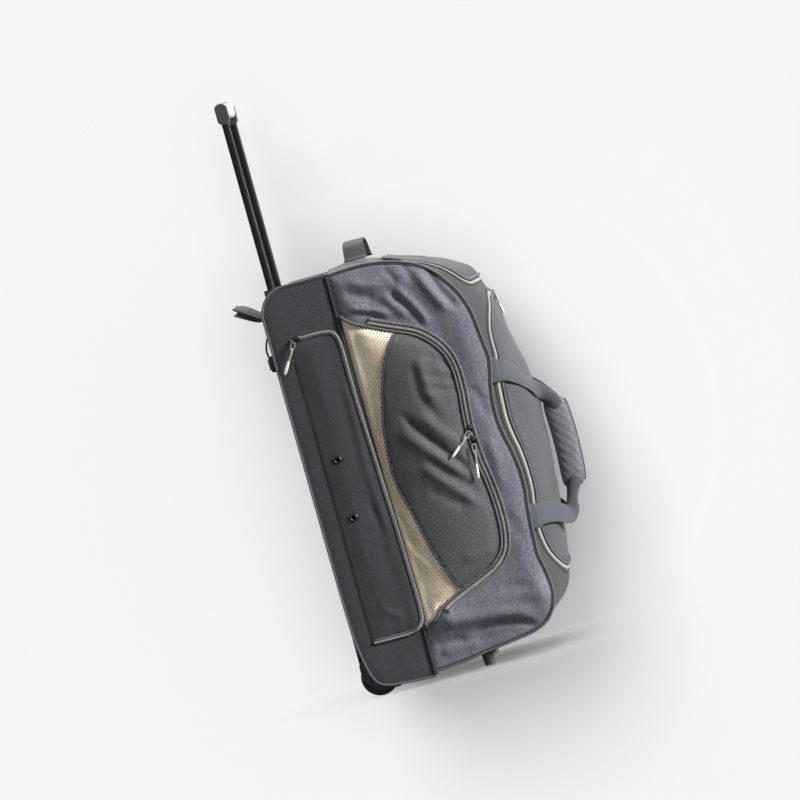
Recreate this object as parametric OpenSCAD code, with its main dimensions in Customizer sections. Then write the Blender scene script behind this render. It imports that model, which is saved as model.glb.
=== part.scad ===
// Rolling duffel bag, standing upright on its two wheels and two stand feet.
// +Z runs up the long side of the bag, +Y points to the back (the trolley
// handle side), -Y to the lid, and the origin is on the ground under the
// middle of the whole object. Depths called "t" below are measured from the
// back panel towards the lid.

/* [Body] */
// Width of the bag between its two side panels
body_w = 340; // [336:1:344]
// Depth of the base compartment
base_d = 122; // [120:1:124]
// Depth of the side panels, from the back panel to the lid piping
side_d = 343; // [341:1:345]
// Height of the lid's crown above the side panels
crown_h = 62; // [60:1:63]
// Thickness of the padded fabric panels
fabric_t = 3; // [2.8:0.1:3.2]

/* [Wheels] */
// Outside diameter of a wheel
wheel_d = 64; // [62:1:64]
// Width of a wheel
wheel_w = 24; // [22:1:24]
// Distance of a wheel's middle from the middle of the bag
wheel_x = 138; // [136:1:140]
// Diameter of the wheel axle
axle_d = 6; // [5:0.5:6]

/* [Trolley handle] */
// Distance from the middle of the bag to each tube
tube_x = 95; // [93:1:97]
// How far the handle travels
handle_travel = 290; // [250:1:290]
// Width of the inner tube
tube_w = 20; // [19:0.5:20]
// Depth of the inner tube
tube_h = 12; // [12:0.5:13]
// Wall thickness of the tubes
tube_wall = 1.3; // [1.1:0.1:1.3]
// Running gap between the tubes
tube_gap = 0.3; // [0.25:0.05:0.35]

/* [Pockets and doors] */
// How far the side pockets stand off the side panels
pocket_d = 8.5; // [8:0.5:9]
// Width of the zip tapes
zip_w = 8; // [7:0.5:8]
// Diameter of the hole in a vent eyelet
eyelet_d = 7; // [6:0.5:8]

/* [Carrying] */
// Width of the webbing
webbing_w = 40; // [38:1:42]
// Length of the grip pad
pad_l = 146; // [140:1:150]

/* [Hidden] */

// Puts the middle of the whole object's depth at y = 0.
flap_turn = 50;
flap_reach = 1.2 + 1.4 * cos(flap_turn) + 64.5 * sin(flap_turn);
pad_front = 454;
y_mid = (pad_front - flap_reach) / 2;
hw = body_w / 2;
in_w = hw - fabric_t;
arch_r = (hw * hw + crown_h * crown_h) / (2 * crown_h);
arch_t = side_d + crown_h - arch_r;
wheel_r = wheel_d / 2;
wheel_t = 27;
axle_r = axle_d / 2;
tube_t = 22;
out_w = tube_w + 2 * tube_gap + 2 * tube_wall;
out_h = tube_h + 2 * tube_gap + 2 * tube_wall;
grip_z = 1002;
hinge_x = hw - 17.5;
hinge_t = arch_t + sqrt(arch_r * arch_r - hinge_x * hinge_x) + 1.6;

charcoal = [0.24, 0.24, 0.26];
dark = [0.15, 0.15, 0.16];
heather = [0.42, 0.42, 0.48];
tan_mesh = [0.66, 0.60, 0.48];
webbing = [0.30, 0.32, 0.36];
black = [0.06, 0.06, 0.06];
light = [0.68, 0.67, 0.63];
silver = [0.75, 0.75, 0.76];

function arc(ct, cz, r, a0, a1, n = 10) =
    [for (i = [0:n]) [ct + r * cos(a0 + (a1 - a0) * i / n), cz + r * sin(a0 + (a1 - a0) * i / n)]];

// Outline of the base compartment in depth and height, moved in by i.
function base_pts(i = 0) = concat(
    [[base_d, 10 + i], [base_d, 713 - i]],
    arc(45, 668, 45 - i, 90, 180),
    arc(36, 46, 36 - i, 180, 270));

// Profile of the main compartment's crown in depth and height.
crown_pts = [[base_d, 18], [165, 19], [230, 28], [300, 37], [336, 56],
    [369, 80], [383, 120], [388, 160], [393, 220], [398, 278], [402, 330],
    [side_d + crown_h, 380], [side_d + crown_h, 440], [401, 500], [393, 560], [383, 600], [372, 632],
    [352, 660], [325, 680], [290, 694], [250, 706], [205, 719], [160, 720],
    [base_d, 714]];

// Outline of a side pocket, and the line where its mesh meets its panel.
pocket_hinge_t = base_d + 4;
pocket_top = [[pocket_hinge_t, 640], [146, 626], [169, 614], [206, 599]];
pocket_front = [[240, 583], [262, 568], [278, 551], [288, 534], [294, 509],
    [294, 474], [290, 430], [288, 400], [291, 350], [296, 290], [299, 240],
    [298, 212], [292, 188], [280, 169], [262, 155], [237, 142]];
pocket_low = [[206, 130], [169, 112], [148, 100], [pocket_hinge_t, 92]];
mesh_line = [[205, 585], [183, 554], [169, 520], [155, 478], [149, 441],
    [141, 400], [140, 360], [146, 325], [154, 292], [171, 228], [185, 179],
    [205, 142]];

// ---- helpers ----

// Extrudes a shape drawn in depth and height from x0 to x1.
module across(x0, x1)
    translate([x1, 0, 0])
        multmatrix([[0, 0, -1, 0], [-1, 0, 0, 0], [0, 1, 0, 0], [0, 0, 0, 1]])
            linear_extrude(height = x1 - x0) children();

// Extrudes a shape drawn in width and height from depth t0 to t1.
module through(t0, t1)
    translate([0, -t0, 0]) rotate([90, 0, 0]) linear_extrude(height = t1 - t0) children();

// A box from its limits in width, depth and height.
module box(x0, x1, t0, t1, z0, z1)
    translate([x0, -t1, z0]) cube([x1 - x0, t1 - t0, z1 - z0]);

// The same shape again on the other side.
module both() { children(); mirror([1, 0, 0]) children(); }

module rrect(w, h, r) {
    square([w - 2 * r, h], center = true);
    square([w, h - 2 * r], center = true);
    for (x = [-1, 1], y = [-1, 1])
        translate([x * (w / 2 - r), y * (h / 2 - r)]) circle(r, $fn = 32);
}

// A shaft or bore along X.
module xrod(x0, x1, t, z, r)
    translate([x0, -t, z]) rotate([0, 90, 0]) cylinder(h = x1 - x0, r = r, $fn = 64);

// The whole main compartment as a solid, grown by d.
module main_form(d = 0)
    intersection() {
        across(-hw, hw) offset(delta = d) polygon(crown_pts);
        linear_extrude(height = 760)
            intersection() {
                translate([0, -arch_t]) circle(arch_r + d, $fn = 160);
                translate([-hw, -440]) square([body_w, 340]);
            }
    }

// The lid's outline in width and height: wide corners above, tighter ones below.
module lid_shape(g = 0) hull() for (s = [-1, 1]) {
    translate([s * 20, 473]) circle(130 + g, $fn = 96);
    translate([s * 60, 217]) circle(90 + g, $fn = 96);
}

module band() intersection() {
    difference() { main_form(0); main_form(-fabric_t); }
    box(-in_w, in_w, base_d + 0.1, 440, 0, 760);
}

// ---- fixed parts of the bag ----

module back_panel() color(charcoal) difference() {
    box(-in_w, in_w, 0, fabric_t, 46.1, 667.9);
    both() box(wheel_x - 18.5, wheel_x + 18.5, -1, fabric_t + 1, 40, 73);
}

module back_board() color(dark)
    box(-150, 150, fabric_t + 0.2, fabric_t + 2.2, 84, 660);

module base_ring(z0, z1) intersection() {
    across(-in_w, in_w) difference() {
        polygon(base_pts());
        polygon(base_pts(fabric_t));
    }
    box(-hw, hw, -1, base_d - 0.1, z0, z1);
}

module base_top_panel() color(charcoal) difference() {
    base_ring(668, 720);
    box(-113, 113, tube_t - 13, tube_t + 13, 680, 720);
}

module base_bottom_panel() color(charcoal) difference() {
    base_ring(5, 46);
    both() box(wheel_x - 18.5, wheel_x + 18.5, -2, 68, 0, 60);
}

module door_shape(g = 0)
    polygon(concat(
        [[36 - g, 96 - g]], arc(102, 108 , 12 + g, 270, 360, 6),
        arc(102, 592, 12 + g, 0, 90, 6), [[36 - g, 604 + g]]));

module base_side(open) difference() {
    across(-hw, -in_w) polygon(base_pts());
    if (open) across(-hw - 1, -in_w + 1) door_shape(-2.5);
}
module base_side_left() color(charcoal) base_side(true);
module base_side_right() color(charcoal) mirror([1, 0, 0]) base_side(false);

module divider_panel() color(dark)
    box(-in_w + 0.2, in_w - 0.2, base_d - 2.8, base_d - 0.2, 22, 706);

module main_side() across(-hw, -in_w) intersection() {
    polygon(crown_pts);
    translate([base_d + 0.1, 0]) square([side_d - base_d - 0.1, 760]);
}
module main_side_left() color(heather) main_side();
module main_side_right() color(heather) mirror([1, 0, 0]) main_side();

module gusset_top() color(charcoal) intersection() {
    band();
    box(-hw, hw, 0, 440, 650, 760);
}
module gusset_bottom() color(charcoal) intersection() {
    band();
    box(-hw, hw, 0, 440, 0, 74);
}
module lid_frame() color(charcoal) difference() {
    intersection() { band(); box(-hw, hw, 330, 440, 74.1, 649.9); }
    through(300, 460) lid_shape(1.5);
}

module welt(x0, x1) across(x0, x1) difference() { offset(delta = 0.5) children(); offset(delta = -3.5) children(); }
module seam_piping() color(webbing) both() {
    welt(-hw - 2.7, -hw - 0.2) polygon(base_pts());
    welt(-hw - 2.7, -hw - 0.2) intersection() {
        polygon(crown_pts);
        translate([base_d + 1, 0]) square([side_d - base_d - 1, 760]);
    }
}

module pocket_shape(g = 0) offset(delta = g) polygon(concat(pocket_top, pocket_front, pocket_low));

module pocket_tape() across(-hw - 1.7, -hw - 0.2) difference() {
    pocket_shape(zip_w);
    pocket_shape(0.4);
    translate([0, 0]) square([pocket_hinge_t + 12, 760]);
}
module door_tape() across(-hw - 1.7, -hw - 0.2) difference() {
    polygon(concat([[36, 88]], arc(108, 98, 10, 270, 360, 6), arc(108, 614, 10, 0, 90, 6), [[36, 624]]));
    door_shape(0.4);
}
module lid_tape() intersection() {
    difference() { main_form(1.6); main_form(0.2); }
    through(300, 460) difference() {
        lid_shape(zip_w);
        lid_shape(0.4);
        translate([108, 110]) square([70, 500]);
    }
}
module end_pocket_shape(g = 0) translate([0, 667]) rrect(2 * (118 + g), 74 + 2 * g, 12 + g);
module end_pocket_tape() intersection() {
    difference() { main_form(1.9); main_form(0.3); }
    through(200, 440) difference() { end_pocket_shape(zip_w); end_pocket_shape(0.4); }
    box(-hw, hw, 225, 440, 600, 760);
}
module zip_tapes() color(light) {
    both() pocket_tape();
    door_tape();
    lid_tape();
    end_pocket_tape();
}

module end_pocket() color(charcoal) intersection() {
    difference() { main_form(3.2); main_form(0.3); }
    through(200, 440) end_pocket_shape();
    box(-hw, hw, 215, 440, 600, 760);
}

// ---- trolley handle: fixed half ----

module tube(w, h, r, z0, z1) translate([0, 0, z0]) linear_extrude(height = z1 - z0) difference() {
    rrect(w, h, r);
    rrect(w - 2 * tube_wall, h - 2 * tube_wall, r - tube_wall);
}
module at_tubes() for (s = [-1, 1]) translate([s * tube_x, -tube_t, 0]) children();

module outer_tubes() color(silver) difference() {
    at_tubes() tube(out_w, out_h, 5, 66, 697);
    // lock holes in the wall nearest the back panel
    at_tubes() translate([0, 0, 377]) rotate([-90, 0, 0]) cylinder(h = 12, r = 3, $fn = 48);
}

module handle_bezel() color(black) difference() {
    box(-112, 112, tube_t - 12, tube_t + 12, 697.2, 712);
    at_tubes() translate([0, 0, 690]) linear_extrude(height = 40) rrect(tube_w + 2 * tube_gap, tube_h + 2 * tube_gap, 4.2);
}

module tube_bracket() color(black) difference() {
    union() {
        box(-tube_x - 16, tube_x + 16, fabric_t + 2.4, tube_t + 12, 56, 65.9);
        at_tubes() translate([0, 0, 65.8]) linear_extrude(height = 4) rrect(out_w - 2 * tube_wall - 0.3, out_h - 2 * tube_wall - 0.3, 3.5);
    }
    at_tubes() translate([0, 0, 50]) cylinder(h = 30, r = 2.2, $fn = 32);
}

// ---- wheels: fixed half ----

module wheel_housings() color(black) both() difference() {
    across(wheel_x - 18, wheel_x + 18) intersection() {
        translate([wheel_t, wheel_r]) circle(39, $fn = 96);
        union() {
            polygon(base_pts(-1.5));
            translate([3, 40]) square([60, 40]);
        }
    }
    xrod(wheel_x - 14, wheel_x + 14, wheel_t, wheel_r, wheel_r + 2.5);
    xrod(wheel_x - 30, wheel_x + 30, wheel_t, wheel_r, axle_r);
}

module wheel_axles() color(silver) both() {
    xrod(wheel_x - 18, wheel_x + 18, wheel_t, wheel_r, axle_r);
    xrod(wheel_x + 18, wheel_x + 20.5, wheel_t, wheel_r, 5.5);
    xrod(wheel_x - 20.5, wheel_x - 18, wheel_t, wheel_r, 5.5);
}

// A moulded guard round the lower edge between the wheels, with two skid rails.
module skid_guard() color(black) {
    across(-wheel_x + 19, wheel_x - 19) intersection() {
        difference() { polygon(base_pts(-2.6)); polygon(base_pts(-0.2)); }
        translate([-5, 0]) square([85, 90]);
    }
    both() box(60, 90, -2.6, -0.2, 88, 600);
}

module stand_feet() color(dark) both() translate([110, -212, 0]) {
    difference() {
        union() {
            cylinder(h = 22, r1 = 9, r2 = 11, $fn = 64);
            translate([0, 0, 20]) cylinder(h = 10, r = 15, $fn = 64);
        }
        // the base plate's top follows the slope of the bottom gusset
        translate([0, -20, 28.2]) rotate([-7.88, 0, 0]) translate([-25, -10, 0]) cube([50, 60, 20]);
    }
}

// ---- webbing ----

// Sewn ends of the two carrying straps, over the lid's edge.
module strap_patches() color(webbing) both() for (z = [483, 226])
    hull() {
        box(hinge_x + 2.6, hinge_x + 3.4, hinge_t + 0.6, hinge_t + 2.8, z - webbing_w / 2, z + webbing_w / 2);
        box(hw - 1.2, hw - 0.2, side_d + 4.6, side_d + 6.8, z - webbing_w / 2, z + webbing_w / 2);
    }

module grab_handle() color(webbing) translate([0, -176 + webbing_w / 2, 0]) rotate([90, 0, 0])
    linear_extrude(height = webbing_w)
        polygon([[-112, 720.3], [-86, 720.3], [-62, 749], [62, 749], [86, 720.3], [112, 720.3],
            [112, 723.3], [88, 723.3], [64, 752], [-64, 752], [-88, 723.3], [-112, 723.3]]);

module cover_strap() color(webbing) union() {
    box(-12, 12, -4.4, -2.4, 600, 648);
    box(-12, 12, -2.5, -0.2, 644, 648);
}
module cover_buckle() color(black) box(-17, 17, -9.5, -0.4, 578, 599.8);

module rivets() color(silver) {
    for (s = [-1, 1], z = [140, 640]) translate([s * 40, 0.2, z]) rotate([-90, 0, 0]) cylinder(h = 1.6, r = 4.5, $fn = 48);
    for (s = [-1, 1], z = [60, 75]) translate([s * 60, 2.8, z]) rotate([-90, 0, 0]) cylinder(h = 1.6, r = 4, $fn = 48);
}

// ---- trolley handle: moving half ----

module inner_tubes() color(black) difference() {
    at_tubes() tube(tube_w, tube_h, 4, 362, grip_z + 8);
    at_tubes() translate([0, 0, 377]) rotate([-90, 0, 0]) cylinder(h = 12, r = 2.7, $fn = 48);
}

module grip_section(i = 0) // in depth and height
    translate([tube_t - 0.5, grip_z + 24]) rrect(20 - 2 * i, 26 - 2 * i, 8.5 - i);

module grip_body() color(light) difference() {
    across(-82, 82) grip_section();
    // room for the button and the yoke below it
    box(-20.4, 20.4, tube_t - 5.4, tube_t + 5.4, grip_z + 25, grip_z + 40);
    box(-83, 83, tube_t - 4.5, tube_t + 4.5, grip_z + 13.5, grip_z + 25.1);
}
module grip_end_caps() color(dark) both() difference() {
    across(82.2, 112) translate([tube_t - 0.5, grip_z + 18]) rrect(20, 36, 8.5);
    // socket for the tube, and room for the yoke
    translate([tube_x, -tube_t, grip_z - 1]) linear_extrude(height = 9.3) rrect(tube_w + 0.2, tube_h + 0.2, 4.1);
    box(80, tube_x + 6, tube_t - 4.5, tube_t + 4.5, grip_z + 8.3, grip_z + 25.1);
}
module tube_plugs() color(dark) difference() {
    at_tubes() translate([0, 0, 362]) linear_extrude(height = 32) rrect(tube_w - 2 * tube_wall - 0.1, tube_h - 2 * tube_wall - 0.1, 2.7);
    at_tubes() translate([0, 1.5, 377]) rotate([-90, 0, 0]) cylinder(h = 12, r = 2.6, $fn = 48);
    at_tubes() translate([0, -4.5, 377]) rotate([-90, 0, 0]) cylinder(h = 8, r = 2.6, $fn = 48);
    at_tubes() translate([0, 0, 380]) cylinder(h = 20, r = 2.3, $fn = 48);
}
module release_button() color(black) union() {
    box(-20, 20, tube_t - 5, tube_t + 5, grip_z + 27.5, grip_z + 38);
    box(-6, 6, tube_t - 4, tube_t + 4, grip_z + 22.6, grip_z + 28);
}
module push_rods() color(silver) union() {
    box(-tube_x - 3, tube_x + 3, tube_t - 4, tube_t + 4, grip_z + 18.5, grip_z + 22.4);
    at_tubes() translate([0, 0, 386]) cylinder(h = grip_z + 20 - 386, r = 2, $fn = 48);
}
module lock_pins() color(silver) at_tubes() translate([0, 1.8, 377]) rotate([-90, 0, 0]) cylinder(h = tube_h / 2 - 1.8 + 0.15, r = 2.5, $fn = 48);

// ---- wheels: moving half ----

module tyre() color(dark) translate([wheel_x, -wheel_t, wheel_r]) rotate([0, 90, 0])
    rotate_extrude($fn = 128) polygon([[20.1, -wheel_w / 2 + 1], [28, -wheel_w / 2], [30.5, -wheel_w / 2 + 1.2],
        [wheel_r - 0.4, -wheel_w / 2 + 4], [wheel_r, -wheel_w / 2 + 7], [wheel_r, wheel_w / 2 - 7],
        [wheel_r - 0.4, wheel_w / 2 - 4], [30.5, wheel_w / 2 - 1.2], [28, wheel_w / 2], [20.1, wheel_w / 2 - 1]]);
module hub() color(silver) translate([wheel_x, -wheel_t, wheel_r]) rotate([0, 90, 0]) difference() {
    union() {
        translate([0, 0, -wheel_w / 2 + 1]) difference() {
            cylinder(h = wheel_w - 2, r = 20, $fn = 96);
            translate([0, 0, -1]) cylinder(h = wheel_w, r = 17, $fn = 96);
        }
        translate([0, 0, -3]) cylinder(h = 6, r = 17.5, $fn = 96);
        translate([0, 0, -13]) cylinder(h = 26, r = 7, $fn = 64);
    }
    translate([0, 0, -20]) cylinder(h = 40, r = axle_r + 0.05, $fn = 64);
    for (a = [0:60:300]) rotate([0, 0, a]) translate([12, 0, -5]) cylinder(h = 10, r = 3, $fn = 32);
}
module tyre_right() tyre();
module tyre_left() mirror([1, 0, 0]) tyre();
module hub_right() hub();
module hub_left() mirror([1, 0, 0]) hub();

// ---- lid ----

module lid_flap() color(charcoal) intersection() {
    difference() { main_form(0); main_form(-fabric_t); }
    through(300, 460) lid_shape();
}
// A zip slider drawn about its own middle, lying on a tape in the plane z = 0.
module slider_form() difference() {
    union() {
        translate([-4, -5.5, 0.3]) cube([8, 11, 2.6]);
        translate([-1.4, -3, 2.8]) cube([2.8, 6, 3.2]);
    }
    translate([-3, -1.4, 4.3]) rotate([0, 90, 0]) cylinder(h = 6, r = 0.8, $fn = 24);
}
// A pull of length l that hangs towards -Y from an eye at the origin.
module pull_form(l) union() {
    translate([-3.5, -5, -0.6]) cube([7, 3.6, 1.4]);
    translate([-1.2, -l * 0.45, -0.5]) cube([2.4, l * 0.45 - 3, 1.2]);
    translate([-2.4, -l, -0.9]) cube([4.8, l * 0.55, 1.9]);
}
// The lid's slider lies on the flat end of the lid, across its zip.
module at_lid_slider() translate([0, -383.4, 603.4]) rotate([90 - 16.5, 0, 0]) children();
module lid_slider() color(silver) at_lid_slider() translate([0, 0, 1.6]) rotate([0, 0, 90]) slider_form();
module lid_pull() color(light) at_lid_slider() translate([0, 0, 8.6]) translate([0, -0.6, 0]) pull_form(44);

// ---- carrying loops ----

// One leg of a loop: a row of stations of [x, t, z, half width in t, half width in z].
module strap_seg(a, b) hull() {
    for (p = [a, b]) box(p[0] - 1.2, p[0] + 1.2, p[1] - p[3], p[1] + p[3], p[2] - p[4], p[2] + p[4]);
}
leg_up = [[hinge_x - 1.4, hinge_t + 3.4, 483, 1.1, 20], [125, 380.5, 480, 1.1, 20], [50, 411, 446, 1.1, 19], [17.5, 431, 398, 14, 4]];
leg_low = [[hinge_x - 1.4, hinge_t + 3.4, 226, 1.1, 20], [125, 380.5, 222, 1.1, 20], [50, 409.5, 222, 1.1, 19], [17.5, 430, 268, 14, 4]];
module carry_strap() for (leg = [leg_up, leg_low]) union() for (i = [0:2]) strap_seg(leg[i], leg[i + 1]);
module carry_pad() translate([0, 20.5 - pad_front, 333 - pad_l / 2]) linear_extrude(height = pad_l)
    polygon([for (a = [-90:10:90]) [0.3 + 15.2 * cos(a), 20.5 * sin(a)]]);
module carry_strap_right() color(webbing) carry_strap();
module carry_strap_left() color(webbing) mirror([1, 0, 0]) carry_strap();
module carry_pad_right() color(heather) carry_pad();
module carry_pad_left() color(heather) mirror([1, 0, 0]) carry_pad();

// ---- base door ----

module base_door() color(charcoal) difference() {
    across(-hw - 2.8, -hw - 0.3) door_shape();
    for (z = [405, 304]) xrod(-hw - 5, -hw + 1, 58, z, eyelet_d / 2 + 1.2);
}
module vent_eyelets() color(silver) for (z = [405, 304]) difference() {
    union() {
        xrod(-hw - 2.8, -hw - 0.3, 58, z, eyelet_d / 2 + 1.2);
        xrod(-hw - 3.8, -hw - 2.8, 58, z, eyelet_d / 2 + 3.5);
    }
    xrod(-hw - 6, -hw + 2, 58, z, eyelet_d / 2);
}
module on_left(t, z, x, turn) translate([-x, -t, z]) rotate([0, -90, 0]) rotate([0, 0, 90]) rotate([0, 0, 180 + turn]) children();
module door_slider() color(silver) on_left(44, 614, hw + 1.9, 90) slider_form();
module door_pull() color(light) on_left(41, 616, hw + 9, -31) pull_form(58);

// ---- side pockets ----

module pocket_solid(side) intersection() {
    union() {
        across(-hw - pocket_d, -hw - pocket_d + 2) pocket_shape();
        across(-hw - pocket_d, -hw - 0.4) difference() {
            pocket_shape();
            pocket_shape(-2.5);
            translate([0, 0]) square([pocket_hinge_t + 3, 760]);
        }
    }
    across(-hw - 20, -hw + 5)
        if (side == 0) polygon(concat([[100, 660], [206, 660]], mesh_line, [[206, 60], [100, 60]]));
        else polygon(concat([[206.4, 660]], [for (p = mesh_line) p + [0.4, 0]], [[206.4, 60], [340, 60], [340, 660]]));
}
module pocket_panel_left() color(dark) pocket_solid(1);
module pocket_mesh_left() color(tan_mesh) pocket_solid(0);
module pocket_panel_right() color(dark) mirror([1, 0, 0]) pocket_solid(1);
module pocket_mesh_right() color(tan_mesh) mirror([1, 0, 0]) pocket_solid(0);
module pocket_slider_upper() color(silver) on_left(294.5, 396, hw + 2, 4) slider_form();
module pocket_pull_upper() color(light) on_left(292, 393, hw + 10.3, -49) pull_form(54);
module pocket_slider_lower() color(silver) on_left(295.5, 376, hw + 2, 4) slider_form();
module pocket_pull_lower() color(light) on_left(294, 373, hw + 10.3, -6) pull_form(62);

module pocket_slider_right() mirror([1, 0, 0]) pocket_slider_lower();
module pocket_pull_right() mirror([1, 0, 0]) pocket_pull_lower();

// ---- handle cover ----

module cover_flap() color(dark) union() {
    translate([0, 1.2, 660]) rotate([-flap_turn, 0, 0]) translate([-112, -1.4, 1.5]) {
        cube([224, 2.8, 63]);
        translate([30, -3.6, 22]) cube([164, 3.7, 38]);
    }
}

translate([0, y_mid, 0]) back_panel();
translate([0, y_mid, 0]) back_board();
translate([0, y_mid, 0]) base_top_panel();
translate([0, y_mid, 0]) base_bottom_panel();
translate([0, y_mid, 0]) base_side_left();
translate([0, y_mid, 0]) base_side_right();
translate([0, y_mid, 0]) divider_panel();
translate([0, y_mid, 0]) main_side_left();
translate([0, y_mid, 0]) main_side_right();
translate([0, y_mid, 0]) gusset_top();
translate([0, y_mid, 0]) gusset_bottom();
translate([0, y_mid, 0]) lid_frame();
translate([0, y_mid, 0]) seam_piping();
translate([0, y_mid, 0]) zip_tapes();
translate([0, y_mid, 0]) end_pocket();
translate([0, y_mid, 0]) outer_tubes();
translate([0, y_mid, 0]) handle_bezel();
translate([0, y_mid, 0]) tube_bracket();
translate([0, y_mid, 0]) wheel_housings();
translate([0, y_mid, 0]) wheel_axles();
translate([0, y_mid, 0]) skid_guard();
translate([0, y_mid, 0]) stand_feet();
translate([0, y_mid, 0]) strap_patches();
translate([0, y_mid, 0]) grab_handle();
translate([0, y_mid, 0]) cover_strap();
translate([0, y_mid, 0]) cover_buckle();
translate([0, y_mid, 0]) rivets();
translate([0, y_mid, 0]) inner_tubes();
translate([0, y_mid, 0]) grip_body();
translate([0, y_mid, 0]) grip_end_caps();
translate([0, y_mid, 0]) tube_plugs();
translate([0, y_mid, 0]) release_button();
translate([0, y_mid, 0]) push_rods();
translate([0, y_mid, 0]) lock_pins();
translate([0, y_mid, 0]) tyre_left();
translate([0, y_mid, 0]) hub_left();
translate([0, y_mid, 0]) tyre_right();
translate([0, y_mid, 0]) hub_right();
translate([0, y_mid, 0]) lid_flap();
translate([0, y_mid, 0]) lid_slider();
translate([0, y_mid, 0]) lid_pull();
translate([0, y_mid, 0]) carry_strap_left();
translate([0, y_mid, 0]) carry_pad_left();
translate([0, y_mid, 0]) carry_strap_right();
translate([0, y_mid, 0]) carry_pad_right();
translate([0, y_mid, 0]) base_door();
translate([0, y_mid, 0]) vent_eyelets();
translate([0, y_mid, 0]) door_slider();
translate([0, y_mid, 0]) door_pull();
translate([0, y_mid, 0]) pocket_panel_left();
translate([0, y_mid, 0]) pocket_mesh_left();
translate([0, y_mid, 0]) pocket_slider_upper();
translate([0, y_mid, 0]) pocket_pull_upper();
translate([0, y_mid, 0]) pocket_slider_lower();
translate([0, y_mid, 0]) pocket_pull_lower();
translate([0, y_mid, 0]) pocket_panel_right();
translate([0, y_mid, 0]) pocket_mesh_right();
translate([0, y_mid, 0]) pocket_slider_right();
translate([0, y_mid, 0]) pocket_pull_right();
translate([0, y_mid, 0]) cover_flap();
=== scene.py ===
import bpy, bmesh, math
import numpy as np
from mathutils import Vector, Matrix
from mathutils.geometry import delaunay_2d_cdt

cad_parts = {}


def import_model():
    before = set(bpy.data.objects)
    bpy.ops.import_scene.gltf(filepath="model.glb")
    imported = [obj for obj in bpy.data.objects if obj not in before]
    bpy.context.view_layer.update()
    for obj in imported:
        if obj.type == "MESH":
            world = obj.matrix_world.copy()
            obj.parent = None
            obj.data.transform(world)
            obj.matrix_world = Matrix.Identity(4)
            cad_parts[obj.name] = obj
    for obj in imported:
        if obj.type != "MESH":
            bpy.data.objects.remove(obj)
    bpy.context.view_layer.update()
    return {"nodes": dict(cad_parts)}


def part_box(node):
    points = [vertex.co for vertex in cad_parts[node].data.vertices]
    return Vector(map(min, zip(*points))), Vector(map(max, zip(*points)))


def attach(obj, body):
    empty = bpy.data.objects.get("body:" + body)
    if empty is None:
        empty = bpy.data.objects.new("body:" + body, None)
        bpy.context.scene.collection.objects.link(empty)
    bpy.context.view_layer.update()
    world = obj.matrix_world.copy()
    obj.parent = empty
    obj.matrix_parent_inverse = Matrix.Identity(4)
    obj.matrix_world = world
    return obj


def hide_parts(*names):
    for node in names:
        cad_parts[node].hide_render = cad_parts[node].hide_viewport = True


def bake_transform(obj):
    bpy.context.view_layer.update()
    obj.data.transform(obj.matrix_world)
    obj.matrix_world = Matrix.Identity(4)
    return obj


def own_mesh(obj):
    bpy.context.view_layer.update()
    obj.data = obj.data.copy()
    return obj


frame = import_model()
NODE = frame["nodes"]
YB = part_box("back_panel")[1][1]  # the back panel's outer face
scene = bpy.context.scene

# Sizes below are in millimetres: x across the bag, t from the back panel
# towards the lid, z up. W turns them into the row frame in metres.
HW = 170.0
AMBIENT = 0.15  # strength of the sky
WALL, FLOOR = 0.865, 0.90


def W(p):
    p = np.asarray(p, float)
    return np.stack([p[..., 0] / 1000, YB - p[..., 1] / 1000, p[..., 2] / 1000], -1)


# ------------------------------------------------------------------ camera

D = 11.0
FIELD = 1.348
az, el, roll = math.radians(-87.0), math.radians(1.6), math.radians(15.5)
back = Vector((math.sin(az) * math.cos(el), -math.cos(az) * math.cos(el), math.sin(el)))
right0 = Vector((0, 0, 1)).cross(back).normalized()
up0 = back.cross(right0).normalized()
R = right0 * math.cos(roll) - up0 * math.sin(roll)
U = up0 * math.cos(roll) + right0 * math.sin(roll)
aim = Vector(W((-170, 186.6, 475)))
cam = bpy.data.objects.new("camera", bpy.data.cameras.new("camera"))
scene.collection.objects.link(cam)
cam.data.sensor_width = 36
cam.data.lens = 36 * (D - 0.17) / FIELD
cam.location = aim + back * (D - 0.17)
m = Matrix((R, U, back)).transposed().to_4x4()
cam.rotation_mode = "QUATERNION"
cam.rotation_quaternion = m.to_quaternion()
cam.data.clip_start, cam.data.clip_end = 0.1, 100
scene.camera = cam

# ------------------------------------------------------------------ curves


def resample(P, step, closed=False):
    P = np.asarray(P, float)
    if closed:
        P = np.vstack([P, P[:1]])
    d = np.r_[0, np.cumsum(np.linalg.norm(np.diff(P, axis=0), axis=1))]
    n = max(2, int(round(d[-1] / step)))
    s = np.linspace(0, d[-1], n + 1)
    out = np.stack([np.interp(s, d, P[:, k]) for k in range(P.shape[1])], 1)
    return out[:-1] if closed else out


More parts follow.
